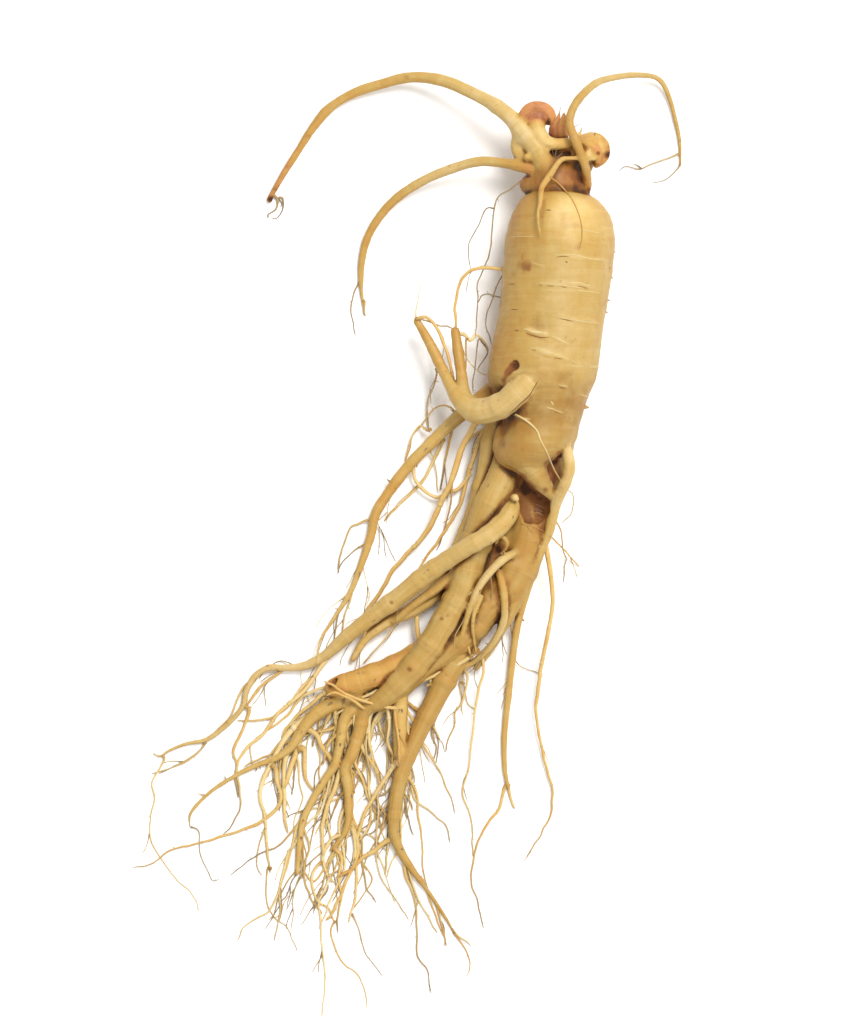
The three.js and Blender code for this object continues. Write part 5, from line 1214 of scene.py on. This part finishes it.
def growRootlets():
    axis = smoothPath([(a, b, mainRoot["height"], c) for a, b, c in mainRoot["sections"]], 1.5)
    grown = np.vstack([axis, *routes.values()])
    groups = {}
    for group, rows in rootlets.items():
        made = []
        for row in rows:
            made.append(listedRootlet(grown, *row))
            grown = np.vstack([grown, made[-1]])
        for parents, count, *ranges, part, seed in sprouts.get(group, []):
            rng = random.Random(seed)
            stock = [r for p in parents for r in (made if p == group else [routes[p]])]
            for parent in rng.choices(stock, [len(r) for r in stock], k=count):
                shoot = sproutFrom(parent, *(rng.uniform(*r) for r in ranges), part, rng)
                if shoot is not None:
                    made.append(shoot)
        for row in stubs.get(group, []):
            made += surfaceStubs(*row)
        groups[group] = made
    for x, y, length, radius, heading in edgeStubs:
        out = np.array([math.cos(math.radians(heading)), math.sin(math.radians(heading)), 0])
        foot = np.array([x, y, mainRoot["height"]])
        places = [foot + out * step for step in (-0.8, 0.5 * length, length)]
        groups["neck_rootlets"].append(stubPath(places, radius, (1, 0.8, 0.5), 0.5))
    groups["pale_hairs"] = [drapedRootlet(*row) for row in paleHairs]
    groups["brown_hairs"] = [drapedRootlet(*row) for row in brownHairs]
    groups["ring_crests"] = [markRoute(*row) for row in ringCrests]
    groups["pit_lines"] = [markRoute(*row) for row in pitLines]
    groups["ring_shadows"] = [markRoute(*row) for row in ringShadows]
    return groups


# tones of the marks laid on the skin: the ring crests paler as a painted highlight, the ring shadows dark as
# painted shadow, the pit lines partly darkened with painted shade
markTones = {
    "pale_hairs": {"ripeAndShade": 0.15, "stainAndShadow": 0, "creviceShade": 0, "dry": 0, "wornAndSheen": 0.5},
    "brown_hairs": {"ripeAndShade": 0.95, "stainAndShadow": 0, "creviceShade": 0.1, "dry": 0, "wornAndSheen": 0.9},
    "ring_crests": {"ripeAndShade": 0.22, "stainAndShadow": 0, "creviceShade": 0, "dry": 0, "wornAndSheen": 0.75},
    "pit_lines": {"ripeAndShade": 1.1, "stainAndShadow": 0.42, "creviceShade": 0.3, "dry": 0, "wornAndSheen": 1},
    "ring_shadows": {"ripeAndShade": 1, "stainAndShadow": 0.9, "creviceShade": 0.7, "dry": 0, "wornAndSheen": 1},
}

# how rare a weathered brown hair is, and how much slimmer the thinnest ones are
hairWear = {"neck_rootlets": (0.2, 0.3), "side_rootlets": (0.9, 0.28), "leg_rootlets": (1.4, 0.2),
            "beard": (2.2, 0.14)}
# the radius under which a rootlet counts as a hair, and the fade from there
thinHair = {"from": 0.42, "over": 0.24}


def guideObject(name, made):
    # bare edges along the routes, with radius, tone and length as attributes
    rng = random.Random(name)
    places, edges, columns = [], [], {}
    fixed = markTones.get(name)
    rare, slim = hairWear.get(name, (3, 0))
    for number, route in enumerate(made):
        along = lengthsAlong(route)
        share = along / along[-1]
        thin = fade(-route[:, 3], -thinHair["from"], thinHair["over"])
        flare = 1 + 0.5 * np.exp(-along / 1.6) * (fixed is None)
        beads = 1 + 0.16 * lineNoise(along, 2.2, number, 0, number)
        tone = rng.uniform(-0.1, 0.75)
        weathered = rng.random() ** rare
        layers = {
            "ripeAndShade": tone + 0.25 * share,
            # painted shade where each rootlet leaves its parent: darker and a little browner at its base
            "stainAndShadow": 0.12 * np.exp(-along / 2),
            "creviceShade": 0.4 * np.exp(-along / 2.5),
            "dry": np.clip(1.5 * thin * weathered + 1.4 * fade(share, 0.8, 1) * rng.random(), 0, 1),
            "wornAndSheen": along * 0 + rng.uniform(0, 0.4),
        }
        if fixed:
            layers = {key: along * 0 + value for key, value in fixed.items()}
        layers["along"] = along + 23 * number
        ends = np.where(share > 0.985, 0.5, 1)
        layers["girth"] = route[:, 3] * (1 - slim * thin) * flare * beads * mm * ends
        edges += [(len(places) + i, len(places) + i + 1) for i in range(len(route) - 1)]
        places += (route[:, :3] * mm).tolist()
        for key, values in layers.items():
            columns.setdefault(key, []).extend(values)
    mesh = bpy.data.meshes.new(name + "_guides")
    mesh.from_pydata(places, edges, [])
    addLayers(mesh, columns)
    return addObject(name + "_guides", mesh)


sweepInputs = {"Ring Sides": "Int", "Ring Spacing": "Float", "Wander": "Float", "Wander Size": "Float",
               "Knot Size": "Float", "Knot Share": "Float", "Spur Length": "Float", "Spur Share": "Float",
               "Seed": "Int", "Skin": "Material"}
sweepSetup = {"Ring Sides": 7, "Ring Spacing": 0.9 * mm, "Wander": 0.7 * mm, "Wander Size": 9 * mm,
              "Knot Size": 1.3, "Knot Share": 0.04, "Spur Length": 1.3 * mm, "Spur Share": 0.05, "Seed": 6,
              "Skin": rootletMaterial}
# what lies on the skin keeps to its line and has closer rings
markSetup = {**sweepSetup, "Ring Spacing": 0.45 * mm, "Wander": 0.0, "Knot Share": 0.0, "Spur Share": 0.0}


def sweepTree():
    # guides to tapered rootlets: even rings, wander, sweep, and scattered knots and spurs
    tree = bpy.data.node_groups.new("rootletSweep", "GeometryNodeTree")
    for way in ("OUTPUT", "INPUT"):
        tree.interface.new_socket("Geometry", in_out=way, socket_type="NodeSocketGeometry")
    for label, kind in sweepInputs.items():
        tree.interface.new_socket(label, in_out="INPUT", socket_type="NodeSocket" + kind)
    given = tree.nodes.new("NodeGroupInput").outputs

    def add(kind, inputs=None, **settings):
        return addNode(tree, kind, inputs, **settings)

    def maths(operation, a, b):
        return add("ShaderNodeMath", {0: a, 1: b}, operation=operation)

    def draw(kind, seed, inputs):
        return add("FunctionNodeRandomValue", {"Seed": seed, **inputs}, data_type=kind)

    curve = add("GeometryNodeMeshToCurve", {0: given["Geometry"]})
    spaced = {"Curve": curve, "Length": given["Ring Spacing"]}
    even = add("GeometryNodeResampleCurve", spaced, mode="LENGTH")
    girth = add("GeometryNodeInputNamedAttribute", {"Name": "girth"}, data_type="FLOAT")
    # wander: a smooth drift in plan that fades in with the rootlet's length
    size = maths("DIVIDE", 1, given["Wander Size"])
    place = add("GeometryNodeInputPosition")
    drift = add("ShaderNodeTexNoise", {"Vector": place, "Scale": size, "Detail": 2}, noise_dimensions="3D")
    raw = {0: drift.outputs["Color"], 1: (0.5, 0.5, 0.5)}
    centred = add("ShaderNodeVectorMath", raw, operation="SUBTRACT")
    flat = add("ShaderNodeVectorMath", {0: centred, 1: (1, 1, 0)}, operation="MULTIPLY")
    share = add("GeometryNodeSplineParameter").outputs["Factor"]
    amount = maths("MULTIPLY", maths("MULTIPLY", given["Wander"], share), 4)
    offset = add("ShaderNodeVectorMath", {0: flat, "Scale": amount}, operation="SCALE")
    moved = add("GeometryNodeSetPosition", {"Geometry": even, "Offset": offset})
    sized = add("GeometryNodeSetCurveRadius", {"Curve": moved, "Radius": girth})
    ring = add("GeometryNodeCurvePrimitiveCircle", {"Radius": 1, "Resolution": given["Ring Sides"]})
    sweep = add("GeometryNodeCurveToMesh", {"Curve": sized, "Profile Curve": ring, "Scale": girth,
                                            "Fill Caps": True})
    points = add("GeometryNodeCurveToPoints", {"Curve": sized}, mode="EVALUATED")
    turn = points.outputs["Rotation"]
    spread = draw("FLOAT", given["Seed"], {2: 0.7, 3: 1.15}).outputs[1]
    # knots on some of the points
    knotSize = maths("MULTIPLY", maths("MULTIPLY", girth, given["Knot Size"]), spread)
    knots = add("GeometryNodeInstanceOnPoints", {
        "Points": points, "Instance": add("GeometryNodeMeshIcoSphere", {"Subdivisions": 1, "Radius": 1}),
        "Selection": draw("BOOLEAN", given["Seed"], {"Probability": given["Knot Share"]}).outputs[3],
        "Rotation": turn, "Scale": knotSize})
    # spurs: short cones that leave some of the points sideways
    tapered = {"Vertices": 5, "Radius Top": 0.12, "Radius Bottom": 0.62, "Depth": 1}
    cone = add("GeometryNodeMeshCone", tapered)
    lean = draw("FLOAT_VECTOR", given["Seed"], {0: (0.7, 0, 0), 1: (1.5, 0, 6.28)})
    some = draw("BOOLEAN", maths("ADD", given["Seed"], 7), {"Probability": given["Spur Share"]})
    reach = maths("MULTIPLY", spread, given["Spur Length"])
    spurs = add("GeometryNodeInstanceOnPoints", {
        "Points": points, "Instance": cone, "Selection": some.outputs[3],
        "Rotation": add("FunctionNodeRotateRotation", {0: turn, 1: lean}, rotation_space="LOCAL"),
        "Scale": add("ShaderNodeCombineXYZ", {0: girth, 1: girth, 2: reach})})
    both = add("GeometryNodeJoinGeometry")
    for part in (sweep, knots, spurs):
        tree.links.new(part.outputs[0], both.inputs[0])
    smooth = add("GeometryNodeSetShadeSmooth", {"Geometry": add("GeometryNodeRealizeInstances", {0: both})})
    painted = add("GeometryNodeSetMaterial", {"Geometry": smooth, "Material": given["Skin"]})
    add("NodeGroupOutput", {0: painted})
    return tree


def sweepRootlets(name, made, tree):
    guides = guideObject(name, made)
    sweep = guides.modifiers.new("sweep", "NODES")
    sweep.node_group = tree
    names = {item.name: item.identifier for item in tree.interface.items_tree if item.in_out == "INPUT"}
    for label, value in (markSetup if name in markTones else sweepSetup).items():
        sweep[names[label]] = value
    depsgraph = bpy.context.evaluated_depsgraph_get()
    mesh = bpy.data.meshes.new_from_object(guides.evaluated_get(depsgraph), depsgraph=depsgraph)
    mesh.name = name
    if mesh.materials[0] is None:  # the sweep leaves an empty first slot
        mesh.materials.pop(index=0)
    guides.modifiers.remove(sweep)
    bpy.data.objects.remove(guides)
    places = np.zeros(len(mesh.vertices) * 3, np.float32)
    mesh.vertices.foreach_get("co", places)
    places[2::3] = np.maximum(places[2::3], 0)  # nothing under the floor
    mesh.vertices.foreach_set("co", places)
    addPiece(name, mesh)
    print(name, "triangles", sum(len(p.vertices) - 2 for p in mesh.polygons))


boxLow, boxHigh = [v / mm + 1 for v in cadBox[0]], [v / mm - 1 for v in cadBox[1]]  # sprouts stay inside it
sweepGroup = sweepTree()
for groupName, groupRoutes in growRootlets().items():
    sweepRootlets(groupName, groupRoutes, sweepGroup)

studio = {
    "floor": 1.6, "floorHeight": -0.00003, "floorColour": (0.97, 0.97, 0.965), "floorRoughness": 0.9,
    "floorSpecular": 0.1, "sky": 0.68,
    "keyLight": dict(place=(0.34, 0.5, 1.1), target=(-0.02, -0.04, 0), size=0.55, power=16,
                     colour=(1, 0.985, 0.96)),
    "fillLight": dict(place=(0.3, -0.7, 0.95), target=(-0.02, -0.06, 0), size=0.8, power=3.4,
                      colour=(1, 1, 1)),
}


def makeFloor():
    mesh = bpy.data.meshes.new("floor")
    h, z = studio["floor"], studio["floorHeight"]
    mesh.from_pydata([(-h, -h, z), (h, -h, z), (h, h, z), (-h, h, z)], [], [(0, 1, 2, 3)])
    floor = addObject("floor", mesh)
    paper = bpy.data.materials.new("paleFloor")
    paper.use_nodes = True
    shader = paper.node_tree.nodes["Principled BSDF"]
    for key, value in (("Base Color", (*studio["floorColour"], 1)), ("Roughness", studio["floorRoughness"]),
                       ("Specular IOR Level", studio["floorSpecular"])):
        shader.inputs[key].default_value = value
    mesh.materials.append(paper)


def softbox(name, place, target, size, power, colour):
    lamp = bpy.data.lights.new(name, "AREA")
    lamp.shape, lamp.size, lamp.energy, lamp.color = "DISK", size, power, colour
    box = addObject(name, lamp)
    box.location = place
    box.rotation_euler = (Vector(target) - Vector(place)).to_track_quat("-Z", "Y").to_euler()


makeFloor()
for lightName in ("keyLight", "fillLight"):
    softbox(lightName, **studio[lightName])
world = bpy.data.worlds.new("studioWorld")
world.use_nodes = True
for socket, value in zip(world.node_tree.nodes["Background"].inputs, ((1, 1, 1, 1), studio["sky"])):
    socket.default_value = value
bpy.context.scene.world = world
bpy.context.scene.view_settings.view_transform = "Standard"
print("studio set")
